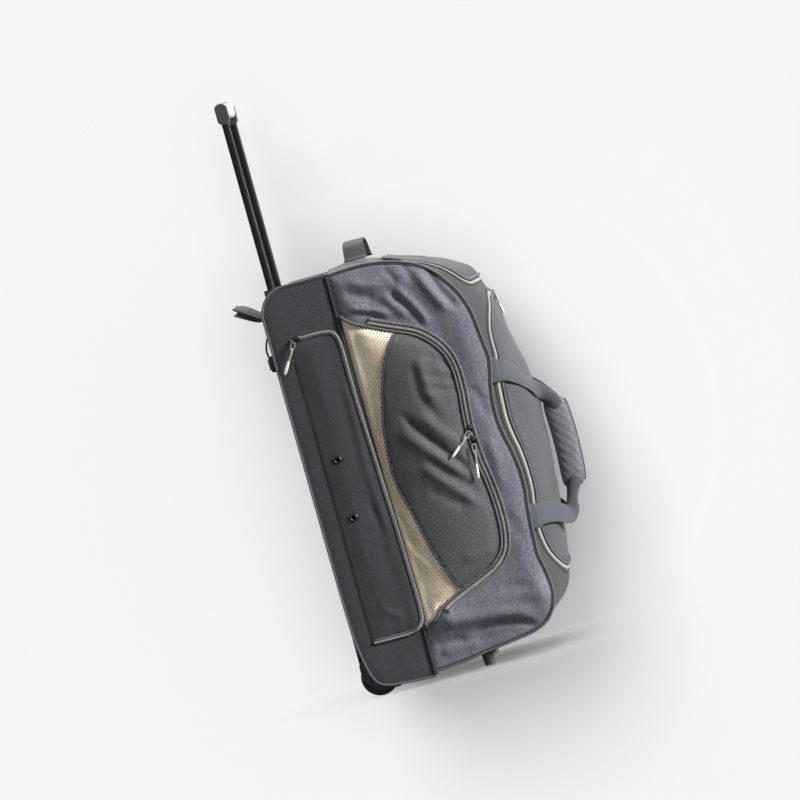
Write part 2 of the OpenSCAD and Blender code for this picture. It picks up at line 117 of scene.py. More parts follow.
def dense(P, closed=False, per=14):
    """A centripetal Catmull-Rom curve through the points."""
    P = np.asarray(P, float)
    n = len(P)

    def get(i):
        if closed:
            return P[i % n]
        if i < 0:
            return 2 * P[0] - P[1]
        if i >= n:
            return 2 * P[-1] - P[-2]
        return P[i]

    out = []
    for i in range(n if closed else n - 1):
        p0, p1, p2, p3 = get(i - 1), get(i), get(i + 1), get(i + 2)
        t0 = 0.0
        t1 = t0 + max(1e-6, np.linalg.norm(p1 - p0)) ** 0.5
        t2 = t1 + max(1e-6, np.linalg.norm(p2 - p1)) ** 0.5
        t3 = t2 + max(1e-6, np.linalg.norm(p3 - p2)) ** 0.5
        for k in range(per):
            t = t1 + (t2 - t1) * k / per
            a1 = (t1 - t) / (t1 - t0) * p0 + (t - t0) / (t1 - t0) * p1
            a2 = (t2 - t) / (t2 - t1) * p1 + (t - t1) / (t2 - t1) * p2
            a3 = (t3 - t) / (t3 - t2) * p2 + (t - t2) / (t3 - t2) * p3
            b1 = (t2 - t) / (t2 - t0) * a1 + (t - t0) / (t2 - t0) * a2
            b2 = (t3 - t) / (t3 - t1) * a2 + (t - t1) / (t3 - t1) * a3
            out.append((t2 - t) / (t2 - t1) * b1 + (t - t1) / (t2 - t1) * b2)
    if not closed:
        out.append(P[-1])
    return np.array(out)


def spline(P, step=4.0, closed=False):
    return resample(dense(P, closed), step, closed)


def inside(Q, poly):
    x, y = Q[:, 0], Q[:, 1]
    r = np.zeros(len(Q), bool)
    for (x1, y1), (x2, y2) in zip(poly, np.roll(poly, -1, 0)):
        if y1 == y2:
            continue
        r ^= ((y1 > y) != (y2 > y)) & (x < (x2 - x1) * (y - y1) / (y2 - y1) + x1)
    return r


def dist(Q, poly, closed=True):
    a = poly if closed else poly[:-1]
    b = np.roll(poly, -1, 0) if closed else poly[1:]
    best = np.full(len(Q), 1e9)
    for p, q in zip(a, b):
        d = q - p
        L = d @ d
        u = np.clip(((Q - p) @ d) / L, 0, 1) if L > 1e-12 else np.zeros(len(Q))
        best = np.minimum(best, np.hypot(*(Q - p - np.outer(u, d)).T))
    return best


def along(Q, path):
    """Distance to an open polyline, the share of the way along it, and the side."""
    best = np.full(len(Q), 1e9)
    share = np.zeros(len(Q))
    side = np.zeros(len(Q))
    seg = np.linalg.norm(np.diff(path, axis=0), axis=1)
    cum = np.r_[0, np.cumsum(seg)]
    for i in range(len(path) - 1):
        p, d = path[i], path[i + 1] - path[i]
        u = np.clip(((Q - p) @ d) / (d @ d), 0, 1)
        w = Q - p - np.outer(u, d)
        r = np.hypot(w[:, 0], w[:, 1])
        k = r < best
        best[k] = r[k]
        share[k] = (cum[i] + u[k] * seg[i]) / cum[-1]
        side[k] = np.sign(d[0] * w[k, 1] - d[1] * w[k, 0])
    return best, share, side


def offset(P, d, closed=False):
    """The polyline moved sideways by d, to the left of its direction for d > 0."""
    if closed:
        T = np.roll(P, -1, 0) - np.roll(P, 1, 0)
    else:
        T = np.gradient(P, axis=0)
    T /= np.linalg.norm(T, axis=1)[:, None] + 1e-12
    return P + d * np.stack([-T[:, 1], T[:, 0]], 1)


def fill(outer, holes=(), step=5.0):
    loops = [outer, *holes]
    pts, edges = [], []
    for L in loops:
        s = len(pts)
        pts += [tuple(p) for p in L]
        edges += [(s + i, s + (i + 1) % len(L)) for i in range(len(L))]
    lo, hi = outer.min(0), outer.max(0)
    rows = np.arange(lo[1] + step * 0.5, hi[1], step * 0.866)
    cols = np.arange(lo[0], hi[0] + step, step)
    grid = np.array([(x + (step / 2 if j % 2 else 0), y) for j, y in enumerate(rows) for x in cols])
    keep = inside(grid, outer)
    for h in holes:
        keep &= ~inside(grid, h)
    grid = grid[keep]
    dd = dist(grid, outer)
    for h in holes:
        dd = np.minimum(dd, dist(grid, h))
    grid = grid[dd > step * 0.55]
    allp = pts + [tuple(p) for p in grid]
    r = delaunay_2d_cdt([Vector(p) for p in allp], edges, [], 0, 1e-6)
    V = np.array([tuple(p) for p in r[0]])
    F = np.array([tuple(f) for f in r[2]])
    c = V[F].mean(1)
    k = inside(c, outer)
    for h in holes:
        k &= ~inside(c, h)
    F = F[k]
    used, inv = np.unique(F, return_inverse=True)
    return V[used], inv.reshape(F.shape)


# ------------------------------------------------------------------ meshes


def obj(name, verts, faces, mat, body, wv=None, attrs=None, smooth=True, world=False):
    """verts in millimetres; wv is the place on the cloth in millimetres."""
    me = bpy.data.meshes.new(name)
    me.from_pydata((verts if world else W(verts)).tolist(), [], [tuple(int(i) for i in f) for f in faces])
    me.update()
    if wv is not None:
        a = me.attributes.new("wv", "FLOAT_VECTOR", "POINT")
        w3 = np.zeros((len(verts), 3), np.float32)
        w3[:, : np.shape(wv)[1]] = wv
        a.data.foreach_set("vector", w3.ravel())
    for k, val in (attrs or {}).items():
        a = me.attributes.new(k, "FLOAT", "POINT")
        a.data.foreach_set("value", np.asarray(val, np.float32))
    if smooth:
        me.polygons.foreach_set("use_smooth", [True] * len(me.polygons))
    o = bpy.data.objects.new(name, me)
    scene.collection.objects.link(o)
    me.materials.append(mat)
    if body:
        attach(o, body)
    return o


def recalc(o):
    bm = bmesh.new()
    bm.from_mesh(o.data)
    bmesh.ops.recalc_face_normals(bm, faces=bm.faces)
    bm.to_mesh(o.data)
    bm.free()
    return o


def face_out(o, out):
    """Turns an open panel's normals to the side that out points to."""
    me = o.data
    n = np.zeros(3)
    for p in me.polygons:
        n += np.array(p.normal) * p.area
    if callable(out):
        s = sum(np.dot(p.normal, out(np.array(p.center))) * p.area for p in me.polygons)
    else:
        s = n @ np.array(out)
    if s < 0:
        me.flip_normals()
    return o


def thick(o, mm, offset=-1.0):
    md = o.modifiers.new("thickness", "SOLIDIFY")
    md.thickness = mm / 1000
    md.offset = offset
    md.use_even_offset = False
    return o


def frames(P, N, closed=False):
    T = (np.roll(P, -1, 0) - np.roll(P, 1, 0)) if closed else np.gradient(P, axis=0)
    T /= np.linalg.norm(T, axis=1)[:, None] + 1e-12
    N = np.broadcast_to(np.asarray(N, float), P.shape).copy()
    N -= T * np.sum(T * N, 1)[:, None]
    N /= np.linalg.norm(N, axis=1)[:, None] + 1e-12
    return T, np.cross(T, N), N


def sweep(name, P, N, profile, mat, body, closed=False, scale=None, smooth=True):
    """Sweeps a closed profile of (across, up) points along P; N is up."""
    P = np.asarray(P, float)
    T, B, Nn = frames(P, N, closed)
    prof = np.asarray(profile, float)
    n, k = len(P), len(prof)
    sc = np.ones((n, 2)) if scale is None else np.asarray(scale, float).reshape(n, -1) * np.ones((n, 2))
    V = (P[:, None, :] + (sc[:, 0, None] * prof[None, :, 0])[..., None] * B[:, None, :]
         + (sc[:, 1, None] * prof[None, :, 1])[..., None] * Nn[:, None, :]).reshape(-1, 3)
    seg = np.r_[0, np.cumsum(np.linalg.norm(np.diff(P, axis=0), axis=1))]
    per = np.r_[0, np.cumsum(np.linalg.norm(np.diff(prof, axis=0), axis=1))]
    wv = np.stack([np.repeat(seg, k), np.tile(prof[:, 0], n), np.tile(prof[:, 1], n)], 1)
    F = []
    for i in range(n if closed else n - 1):
        a, b = i * k, ((i + 1) % n) * k
        for j in range(k):
            j2 = (j + 1) % k
            F.append((a + j, a + j2, b + j2, b + j))
    if not closed:
        F.append(tuple(range(k))[::-1])
        F.append(tuple((n - 1) * k + j for j in range(k)))
    o = obj(name, V, F, mat, body, wv=wv, smooth=smooth)
    return recalc(o)


def circle(r, n=10, squash=1.0):
    return [(r * math.cos(2 * math.pi * i / n), squash * r * math.sin(2 * math.pi * i / n)) for i in range(n)]


def strip(w, h, r=None):
    """A flat band's profile with rounded edges, sitting on 0."""
    r = r or min(h * 0.45, w * 0.2)
    out = []
    for cx, cy, a0 in ((w / 2 - r, r, -90), (w / 2 - r, h - r, 0), (-w / 2 + r, h - r, 90), (-w / 2 + r, r, 180)):
        for a in (0, 45, 90):
            q = math.radians(a0 + a)
            out.append((cx + r * math.cos(q), cy + r * math.sin(q)))
    return out


def chips(name, P, N, size, mat, body, every, shift=0.0, lift=0.0, closed=False, turn=0.0, taper=0.6):
    """Small rounded bars along a path: zip teeth or stitches. size is (along, across, up)."""
    P = resample(np.asarray(P, float), every, closed)
    if callable(N):
        N = N(P)
    T, B, Nn = frames(P, N, closed)
    l, w, h = size
    V, F = [], []
    c, s = math.cos(turn), math.sin(turn)
    for i in range(len(P)):
        a, b = T[i] * c + B[i] * s, B[i] * c - T[i] * s
        o = P[i] + B[i] * shift + Nn[i] * lift
        k = len(V)
        for x, y in ((-1, -1), (1, -1), (1, 1), (-1, 1)):
            V.append(o + a * x * l / 2 + b * y * w / 2)
        for x, y in ((-1, -1), (1, -1), (1, 1), (-1, 1)):
            V.append(o + a * x * l / 2 * taper + b * y * w / 2 * taper + Nn[i] * h)
        F += [(k, k + 3, k + 2, k + 1), (k + 4, k + 5, k + 6, k + 7)]
        F += [(k + j, k + (j + 1) % 4, k + 4 + (j + 1) % 4, k + 4 + j) for j in range(4)]
    o = obj(name, np.array(V), F, mat, body, wv=np.array(V)[:, 1:], smooth=False)
    return recalc(o)


# --------------------------------------------------------------- materials


def lin(*c):
    return [((v / 255 + 0.055) / 1.055) ** 2.4 if v > 10 else v / 255 / 12.92 for v in c]


class Mat:
    def __init__(self, name, colour, rough=0.8, slot=None, **sockets):
        self.m = bpy.data.materials.new(name)
        self.m.use_nodes = True
        self.t = self.m.node_tree
        self.b = self.t.nodes["Principled BSDF"]
        self.b.inputs["Base Color"].default_value = (*colour, 1)
        self.b.inputs["Roughness"].default_value = rough
        for k, v in sockets.items():
            self.b.inputs[k.replace("_", " ")].default_value = v

    def put(self, sock, v):
        if isinstance(v, bpy.types.NodeSocket):
            self.t.links.new(v, sock)
        else:
            sock.default_value = v

    def math(self, op, a, b=0.0, c=None, clamp=False):
        n = self.t.nodes.new("ShaderNodeMath")
        n.operation, n.use_clamp = op, clamp
        self.put(n.inputs[0], a)
        self.put(n.inputs[1], b)
        if c is not None:
            self.put(n.inputs[2], c)
        return n.outputs[0]

    def wv(self, name="wv"):
        n = self.t.nodes.new("ShaderNodeAttribute")
        n.attribute_name = name
        return n

    def xyz(self, v):
        n = self.t.nodes.new("ShaderNodeSeparateXYZ")
        self.t.links.new(v, n.inputs[0])
        return n.outputs

    def vec(self, x, y, z=0.0):
        n = self.t.nodes.new("ShaderNodeCombineXYZ")
        for s, v in zip(n.inputs, (x, y, z)):
            self.put(s, v)
        return n.outputs[0]

    def noise(self, v, scale=1.0, detail=2.0, rough=0.5):
        n = self.t.nodes.new("ShaderNodeTexNoise")
        self.t.links.new(v, n.inputs["Vector"])
        n.inputs["Scale"].default_value = scale
        n.inputs["Detail"].default_value = detail
        n.inputs["Roughness"].default_value = rough
        return n.outputs[0]

    def mix(self, f, a, b, blend="MIX"):
        n = self.t.nodes.new("ShaderNodeMix")
        n.data_type, n.blend_type = "RGBA", blend
        self.put(n.inputs[0], f)
        for s, v in ((n.inputs[6], a), (n.inputs[7], b)):
            self.put(s, (*v, 1) if isinstance(v, (list, tuple)) and len(v) == 3 else v)
        return n.outputs[2]

    def remap(self, v, a, b, c=0.0, d=1.0):
        n = self.t.nodes.new("ShaderNodeMapRange")
        for s, x in zip(n.inputs, (v, a, b, c, d)):
            self.put(s, x)
        return n.outputs[0]

    def bump(self, h, dist=0.0004, strength=1.0):
        n = self.t.nodes.new("ShaderNodeBump")
        n.inputs["Strength"].default_value = strength
        n.inputs["Distance"].default_value = dist
        self.put(n.inputs["Height"], h)
        self.t.links.new(n.outputs[0], self.b.inputs["Normal"])

    def colour(self, c):
        self.t.links.new(c, self.b.inputs["Base Color"])

    def wave(self, u, p):
        return self.math("SINE", self.math("MULTIPLY", u, 2 * math.pi / p))


def object_vec(M):
    n = M.t.nodes.new("ShaderNodeTexCoord")
    s = M.t.nodes.new("ShaderNodeVectorMath")
    s.operation = "SCALE"
    s.inputs["Scale"].default_value = 1000
    M.t.links.new(n.outputs["Object"], s.inputs[0])
    return s.outputs[0]


def cloth(name, dark, light, pitch, slot, contrast=(0.36, 0.64), streak=4.5, bump=0.0001, blotch=0.1, from_object=False):
    """A plain weave whose yarns differ in colour along their own length."""
    M = Mat(name, light, 0.86, slot, Sheen_Weight=0.12, Sheen_Roughness=0.45)
    if from_object:
        x, y, z = M.xyz(object_vec(M))
        u, v = M.math("ADD", x, y), z
    else:
        u, v, _ = M.xyz(M.wv().outputs["Vector"])
    warp = M.noise(M.vec(M.math("DIVIDE", u, pitch), M.math("DIVIDE", v, pitch * streak), 3.1), 0.9, 1.5)
    weft = M.noise(M.vec(M.math("DIVIDE", u, pitch * streak), M.math("DIVIDE", v, pitch), 7.7), 0.9, 1.5)
    over = M.math("MULTIPLY", M.wave(u, pitch * 2), M.wave(v, pitch * 2))
    pick = M.math("GREATER_THAN", over, 0.0)
    yarn = M.math("ADD", M.math("MULTIPLY", warp, pick), M.math("MULTIPLY", weft, M.math("SUBTRACT", 1.0, pick)))
    soft = M.math("ADD", M.math("MULTIPLY", warp, 0.5), M.math("MULTIPLY", weft, 0.5))
    f = M.remap(M.math("ADD", M.math("MULTIPLY", yarn, 0.6), M.math("MULTIPLY", soft, 0.4)), *contrast)
    col = M.mix(f, dark, light)
    big = M.noise(M.vec(M.math("DIVIDE", u, 55.0), M.math("DIVIDE", v, 80.0), 1.0), 1.0, 3.0)
    shade = M.remap(big, 0.25, 0.75, 1 - blotch, 1 + blotch)
    col = M.mix(1.0, col, M.vec(shade, shade, shade), "MULTIPLY")
    M.colour(col)
    h = M.math("ADD", M.math("MULTIPLY", over, 0.5), M.math("MULTIPLY", yarn, 0.6))
    M.bump(h, bump)
    return M.m


C_HEATHER = cloth("heather_weave", lin(62, 61, 70), lin(132, 131, 143), 0.9, "heather_cloth", contrast=(0.3, 0.7), streak=6.0)
C_BASE = cloth("charcoal_weave", lin(42, 42, 46), lin(69, 68, 73), 0.75, "charcoal_cloth")
C_POCKET = cloth("pocket_weave", lin(50, 50, 53), lin(94, 94, 98), 0.75, "charcoal_cloth")
C_LID = cloth("lid_weave", lin(42, 43, 46), lin(88, 88, 92), 0.75, "charcoal_cloth")
# the gussets' cloth is the lid's charcoal cloth made darker: painted shade, a shaded copy of one cloth
C_GUSSET_SHADED = cloth("gusset_weave_shaded", lin(32, 32, 35), lin(70, 70, 73), 0.75, "charcoal_cloth")
C_DARK = cloth("flap_weave", lin(34, 34, 36), lin(50, 50, 53), 0.75, "charcoal_cloth")
C_LINING = cloth("lining_weave", lin(70, 70, 72), lin(92, 92, 95), 0.5, "charcoal_cloth", from_object=True)
C_PAD = cloth("pad_weave", lin(80, 81, 87), lin(130, 131, 138), 0.9, "pad_cloth", contrast=(0.32, 0.68))


def make_mesh_cloth():
    M = Mat("spacer_mesh", lin(168, 155, 133), 0.92, "tan_mesh", Specular_IOR_Level=0.2)
    u, v, _ = M.xyz(M.wv().outputs["Vector"])
    wob = M.math("MULTIPLY", M.math("SUBTRACT", M.noise(M.vec(M.math("DIVIDE", u, 30.0), M.math("DIVIDE", v, 30.0)), 1.0, 2.0), 0.5), 4.0)
    lat = M.math("MULTIPLY", M.wave(M.math("ADD", u, wob), 5.6), M.wave(M.math("ADD", v, M.math("MULTIPLY", u, 0.25)), 6.2))
    # rim nears 1 along the net's seams and the dark panel's edge: there the holes are painted stronger and darker, down
    # to near black, as painted shade; in the middle they keep the tan-brown of the layer beneath
    rim = M.wv("rim").outputs["Fac"]
    hole = M.remap(lat, 0.12, 0.5)
    hole_rim_shade = M.remap(rim, 0.0, 0.7, 0.4, 1.0)
    patch = M.noise(M.vec(M.math("DIVIDE", u, 26.0), M.math("DIVIDE", v, 50.0), 4.0), 1.0, 3.0)
    tan = M.mix(M.remap(patch, 0.3, 0.7), lin(230, 211, 180), lin(252, 241, 218))
    hole_colour_rim_shade = M.mix(rim, lin(146, 130, 106), lin(16, 16, 15))
    M.colour(M.mix(M.math("MULTIPLY", hole, hole_rim_shade), tan, hole_colour_rim_shade))
    M.bump(M.math("SUBTRACT", 1.0, hole), 0.00035)
    return M.m


C_MESH = make_mesh_cloth()


def ribbed(name, dark, light, pitch, slot, across=True, rough=0.7, bump=0.0003):
    M = Mat(name, light, rough, slot, Sheen_Weight=0.15)
    u, v, _ = M.xyz(M.wv().outputs["Vector"])
    a, b = (u, v) if across else (v, u)
    rib = M.wave(a, pitch)
    fine = M.wave(b, pitch * 0.55)
    n = M.noise(M.vec(M.math("DIVIDE", u, 2.0), M.math("DIVIDE", v, 0.8)), 1.0, 3.0)
    f = M.math("ADD", M.remap(rib, -1.0, 1.0, 0.1, 0.6), M.math("MULTIPLY", n, 0.5), clamp=True)
    M.colour(M.mix(f, dark, light))
    M.bump(M.math("ADD", rib, M.math("MULTIPLY", fine, 0.35)), bump)
    return M.m


C_WEB = ribbed("webbing_ribs", lin(40, 43, 49), lin(82, 86, 95), 1.9, "webbing")
C_WEB_DARK = ribbed("webbing_dark", lin(28, 29, 32), lin(52, 53, 57), 1.9, "webbing")
C_PIPE = ribbed("piping_cloth", lin(50, 50, 57), lin(94, 94, 103), 1.2, "piping", rough=0.5, bump=0.00012)
C_BIND = ribbed("binding_cloth", lin(30, 30, 34), lin(50, 50, 55), 1.4, "piping", bump=0.0002)
C_TAPE = ribbed("zip_tape_knit", lin(122, 119, 113), lin(164, 160, 152), 1.1, "zip_tape", bump=0.00015)
C_TAPE_DARK = ribbed("zip_tape_dark", lin(34, 34, 38), lin(52, 52, 56), 1.1, "zip_tape", bump=0.00015)


def plain(name, colour, rough, slot, grain=0.0, scale=2.0, vary=0.1, **k):
    M = Mat(name, colour, rough, slot, **k)
    v = object_vec(M)
    n = M.noise(v, 1.0 / scale, 3.0)
    g = M.remap(M.noise(v, 1.0 / 60, 2.0), 0.3, 0.7, 1 - vary, 1 + vary)
    M.colour(M.mix(1.0, (*colour,), M.vec(g, g, g), "MULTIPLY"))
    M.t.links.new(M.remap(n, 0.3, 0.7, max(0.02, rough - 0.08), min(1.0, rough + 0.1)), M.b.inputs["Roughness"])
    if grain:
        M.bump(n, grain)
    return M.m


C_TEETH = plain("zip_teeth", lin(178, 174, 166), 0.4, "zip_tape", vary=0.04)
C_TEETH_DARK = plain("zip_teeth_dark", lin(70, 70, 74), 0.4, "zip_tape", vary=0.04)
C_THREAD = plain("thread", lin(104, 104, 112), 0.8, "piping", vary=0.05)
C_THREAD_DARK = plain("thread_dark", lin(58, 58, 62), 0.8, "piping", vary=0.05)
C_BLACK = plain("black_moulding", lin(38, 38, 40), 0.5, "black_plastic", grain=0.00006, scale=0.7)
C_TUBE = plain("black_tube_gloss", lin(14, 14, 15), 0.36, "black_tube", scale=30, Specular_IOR_Level=0.3)
C_ALU = plain("drawn_aluminium", lin(190, 190, 192), 0.35, "aluminium", Metallic=1.0)
C_GRIP = plain("grip_moulding", lin(196, 193, 184), 0.45, "grip_plastic", grain=0.00005, scale=0.8)
C_CAP = plain("cap_moulding", lin(62, 62, 62), 0.42, "black_plastic", grain=0.00004, scale=0.8)
C_BUTTON = plain("button_moulding", lin(48, 48, 50), 0.3, "button_plastic")
C_TYRE = plain("tyre_rubber_skin", lin(34, 34, 35), 0.75, "tyre_rubber", grain=0.0001, scale=1.0)
C_HUB = plain("hub_moulding", lin(88, 88, 90), 0.45, "hub_plastic")
C_STEEL = plain("plated_steel", lin(178, 178, 180), 0.3, "steel", Metallic=1.0)
C_DARKMETAL = plain("dark_metal", lin(72, 72, 76), 0.32, "steel", Metallic=1.0)
C_FOOT = plain("foot_rubber_skin", lin(86, 86, 82), 0.7, "foot_rubber", grain=0.0001, scale=1.0)
C_BOARD = plain("board_skin", lin(40, 40, 42), 0.7, "board")
C_TAB = plain("pull_end", lin(226, 220, 206), 0.45, "pull_cord", vary=0.03)
C_CORD = ribbed("pull_braid", lin(120, 116, 106), lin(205, 199, 186), 1.3, "pull_cord", bump=0.0002)

for n, c in dict(
    back_board=C_BOARD, divider_panel=C_LINING, outer_tubes=C_ALU, handle_bezel=C_BLACK, tube_bracket=C_BLACK,
    wheel_housings=C_BLACK, wheel_axles=C_STEEL, skid_guard=C_BLACK, stand_feet=C_FOOT, cover_buckle=C_BLACK,
    rivets=C_STEEL, inner_tubes=C_TUBE, grip_body=C_GRIP, grip_end_caps=C_CAP, tube_plugs=C_BLACK,
    release_button=C_BUTTON, push_rods=C_ALU, lock_pins=C_STEEL, tyre_left=C_TYRE, tyre_right=C_TYRE,
    hub_left=C_HUB, hub_right=C_HUB, vent_eyelets=C_DARKMETAL,
).items():
    NODE[n].data.materials.clear()
    NODE[n].data.materials.append(c)

for n, w in dict(handle_bezel=2.5, skid_guard=0.8, grip_body=1.0, grip_end_caps=1.6, release_button=1.2,
                 cover_buckle=2.0, wheel_housings=1.2, stand_feet=1.0, tyre_left=0.6, tyre_right=0.6,
                 hub_left=0.5, hub_right=0.5, vent_eyelets=0.5, inner_tubes=0.3, tube_bracket=1.0).items():
    md = NODE[n].modifiers.new("edges", "BEVEL")
    md.width, md.segments, md.limit_method, md.angle_limit = w / 1000, 3, "ANGLE", math.radians(40)
    md.harden_normals = False
    wn = NODE[n].modifiers.new("normals", "WEIGHTED_NORMAL")
    wn.keep_sharp = True

# ------------------------------------------------------- the bag's outlines

# Side piping and crown at the same stations: side t, side z, crown t, crown z.
BAND = [
    (122, 17, 122, 14), (165, 20, 165, 17), (215, 27, 215, 26), (263, 33, 263, 34), (300, 39, 300, 41),
    (322, 50, 328, 54), (337, 67, 352, 70), (344, 85, 368, 88), (346, 108, 379, 112), (343, 135, 384, 138),
    (338, 166, 387, 170), (339, 188, 389, 190), (340, 207, 391, 208), (343, 245, 393, 245), (347, 275, 396, 275),
    (347, 307, 399, 305), (343, 341, 402, 338), (337, 370, 404, 368), (333, 400, 405, 398), (334, 430, 404, 432),
    (337, 454, 401, 455), (343, 480, 397, 480), (347, 504, 392, 503), (346, 520, 389, 520), (344, 537, 386, 539),
    (342, 558, 384, 562), (340, 580, 381, 586), (334, 604, 375, 610), (324, 628, 365, 634), (313, 647, 352, 655),
    (302, 664, 331, 670), (291, 676, 310, 681), (277, 687, 286, 689), (240, 702, 244, 703), (198, 711, 200, 717),
    (158, 712, 158, 722), (122, 710, 122, 716),
]
BAND = [(a + 4 * min(1, max(0, (a - 290) / 30)), b, c, d) for a, b, c, d in BAND]
_b = dense(BAND, per=20)
_s = np.r_[0, np.cumsum(np.hypot(*np.diff(_b[:, :2], axis=0).T))]
S_END = _s[-1]


def band_at(s):
    return [np.interp(s, _s, _b[:, k]) for k in range(4)]


def bump_band(x, s):
    """Slack in the cloth of the gussets and lid."""
    return (1.6 * np.sin(s / 31.0 + x / 47.0) * np.cos(x / 38.0 + 0.6)
            + 0.8 * np.sin(s / 13.0 - x / 29.0 + 1.3)) * (1 - (np.abs(x) / HW) ** 4)


def band(x, s, lift=0.0):
    """Point on the gussets and lid, for x across and s along the side piping."""
    x, s = np.asarray(x, float), np.asarray(s, float)
    pt, pz, ct, cz = band_at(s)
    w = 1 - np.clip(np.abs(x) / HW, 0, 1) ** 2.2
    e = 2.0
    a, b = band_at(s + e), band_at(s - e)
    tt, tz = a[0] - b[0], a[1] - b[1]
    L = np.hypot(tt, tz) + 1e-9
    nt, nz = tz / L, -tt / L
    h = bump_band(x, s) + lift
    return np.stack([x, pt + (ct - pt) * w + nt * h, pz + (cz - pz) * w + nz * h], -1)


def band_normal(x, s):
    x, s = np.asarray(x, float), np.asarray(s, float)
    a = band(x + 1, s) - band(x - 1, s)
    b = band(x, s + 1) - band(x, s - 1)
    n = np.cross(b, a)
    n /= np.linalg.norm(n, axis=-1)[..., None] + 1e-9
    mid = n[..., 1] * 0.7 + n[..., 2] * np.sign(band(x, s)[..., 2] - 360) * 0.3
    return n * np.where(mid < 0, -1, 1)[..., None]


_lid_s = np.linspace(S_END * 0.19, S_END * 0.80, 500)


def s_of(x, z):
    """Place along the piping of the point of the lid side at width x and height z."""
    out = np.empty(len(x))
    for i, (a, b) in enumerate(zip(x, z)):
        pt, pz, ct, cz = band_at(_lid_s)
        zz = pz + (cz - pz) * (1 - min(1, abs(a) / HW) ** 2.2)
        out[i] = np.interp(b, zz, _lid_s)
    return out


def on_band(P, lift=0.0):
    """Points (x, z) of the lid side on the surface, with their normals."""
    s = s_of(P[:, 0], P[:, 1])
    n = band_normal(P[:, 0], s)
    return band(P[:, 0], s) + n * lift, n


def rrect(cx, cz, w, h, r, step=4.0, n=10):
    pts = []
    for sx, sz, a0 in ((1, -1, -90), (1, 1, 0), (-1, 1, 90), (-1, -1, 180)):
        for k in range(n + 1):
            a = math.radians(a0 + 90 * k / n)
            pts.append((cx + sx * (w / 2 - r) + r * math.cos(a), cz + sz * (h / 2 - r) + r * math.sin(a)))
    return resample(pts, step, True)


def inset(P, d):
    """A closed counter-clockwise loop made smaller by d."""
    return offset(P, d, True)




def lid_outline(step=4.0, n=16):
    """Wide corners above, tighter ones below."""
    pts = []
    for cx, cz, r, a0 in ((60, 217, 90, -90), (20, 473, 130, 0), (-20, 473, 130, 90), (-60, 217, 90, 180)):
        for k in range(n + 1):
            a = math.radians(a0 + 90 * k / n)
            pts.append((cx + r * math.cos(a), cz + r * math.sin(a)))
    return resample(pts, step, True)


LID = lid_outline()
STEP = 4.5

# ------------------------------------------------- side panels of the bag

_side = np.stack([_b[:, 0], _b[:, 1]], 1)
SIDE = resample(np.vstack([_side, [[122, 700]], [[122, 30]]]), 4.0, True)  # main side panel's outline
ZIP_P = [(169, 615), (190, 605), (210, 596), (244, 580), (266, 561), (284, 535), (292, 507), (293, 467), (288, 405),
         (289, 372), (291, 342), (297, 300), (300, 254), (298, 214), (289, 183), (266, 160), (230, 143), (196, 129),
         (167, 115)]
zip_p = spline(ZIP_P, 3.0)
_in = offset(zip_p, 7.0)  # the pocket lies inside its zip
if inside(_in[len(_in) // 2][None], SIDE)[0] and _in[len(_in) // 2][0] > zip_p[len(zip_p) // 2][0]:
    _in = offset(zip_p, -7.0)
POCKET = resample(np.vstack([[[124, 641]], spline([(124, 641), (134, 629), (150, 617), tuple(_in[0] + (0, 1))], 4)[1:], _in[2:-2],
                             spline([tuple(_in[-1]), (148, 104), (133, 96), (126, 91)], 4)]), 4.0, True)
MESH_LINE = spline([(213, 596), (206, 585), (192, 564), (180, 545), (166, 510), (157, 477), (149, 445), (145, 414), (142, 380),
                    (142, 350), (147, 320), (155, 290), (168, 232), (185, 178), (199, 145), (207, 128)], 4.0)


def grid_field(fn, lo, hi, step=3.0):
    xs, ys = np.arange(lo[0], hi[0] + step, step), np.arange(lo[1], hi[1] + step, step)
    gx, gy = np.meshgrid(xs, ys, indexing="ij")
    val = fn(np.stack([gx.ravel(), gy.ravel()], 1)).reshape(gx.shape)

    def at(Q):
        Q = np.asarray(Q, float)
        u = np.clip((Q[..., 0] - lo[0]) / step, 0, len(xs) - 1.001)
        v = np.clip((Q[..., 1] - lo[1]) / step, 0, len(ys) - 1.001)
        i, j = u.astype(int), v.astype(int)
        a, b = u - i, v - j
        return ((1 - a) * (1 - b) * val[i, j] + a * (1 - b) * val[i + 1, j]
                + (1 - a) * b * val[i, j + 1] + a * b * val[i + 1, j + 1])

    return at


def fold(Q, path, amp, width, skew=0.0, ends=0.22):
    """A ridge (or valley, amp < 0) along a path, fading at its ends."""
    r, sh, side = along(Q, np.asarray(path, float))
    env = np.clip(sh / ends, 0, 1) * np.clip((1 - sh) / ends, 0, 1)
    env = env * env * (3 - 2 * env)
    w = width * (1 + skew * side)
    cap = (sh <= 0.0) | (sh >= 1.0)
    return 1.7 * amp * np.where(cap, 0, env) * np.exp(-(r / w) ** 2)


def rough_cloth(Q, seed=0.0, amp=0.5):
    x, y = Q[:, 0], Q[:, 1]
    return amp * (np.sin(x / 23 + y / 61 + seed) * np.cos(y / 37 - x / 53 + seed * 2)
                  + 0.5 * np.sin(x / 11 - y / 27 + seed * 3) * np.cos(y / 17 + x / 31 + seed)
                  + 0.25 * np.sin(x / 6.1 + y / 9.7 + seed) * np.sin(y / 7.3 - x / 8.9))


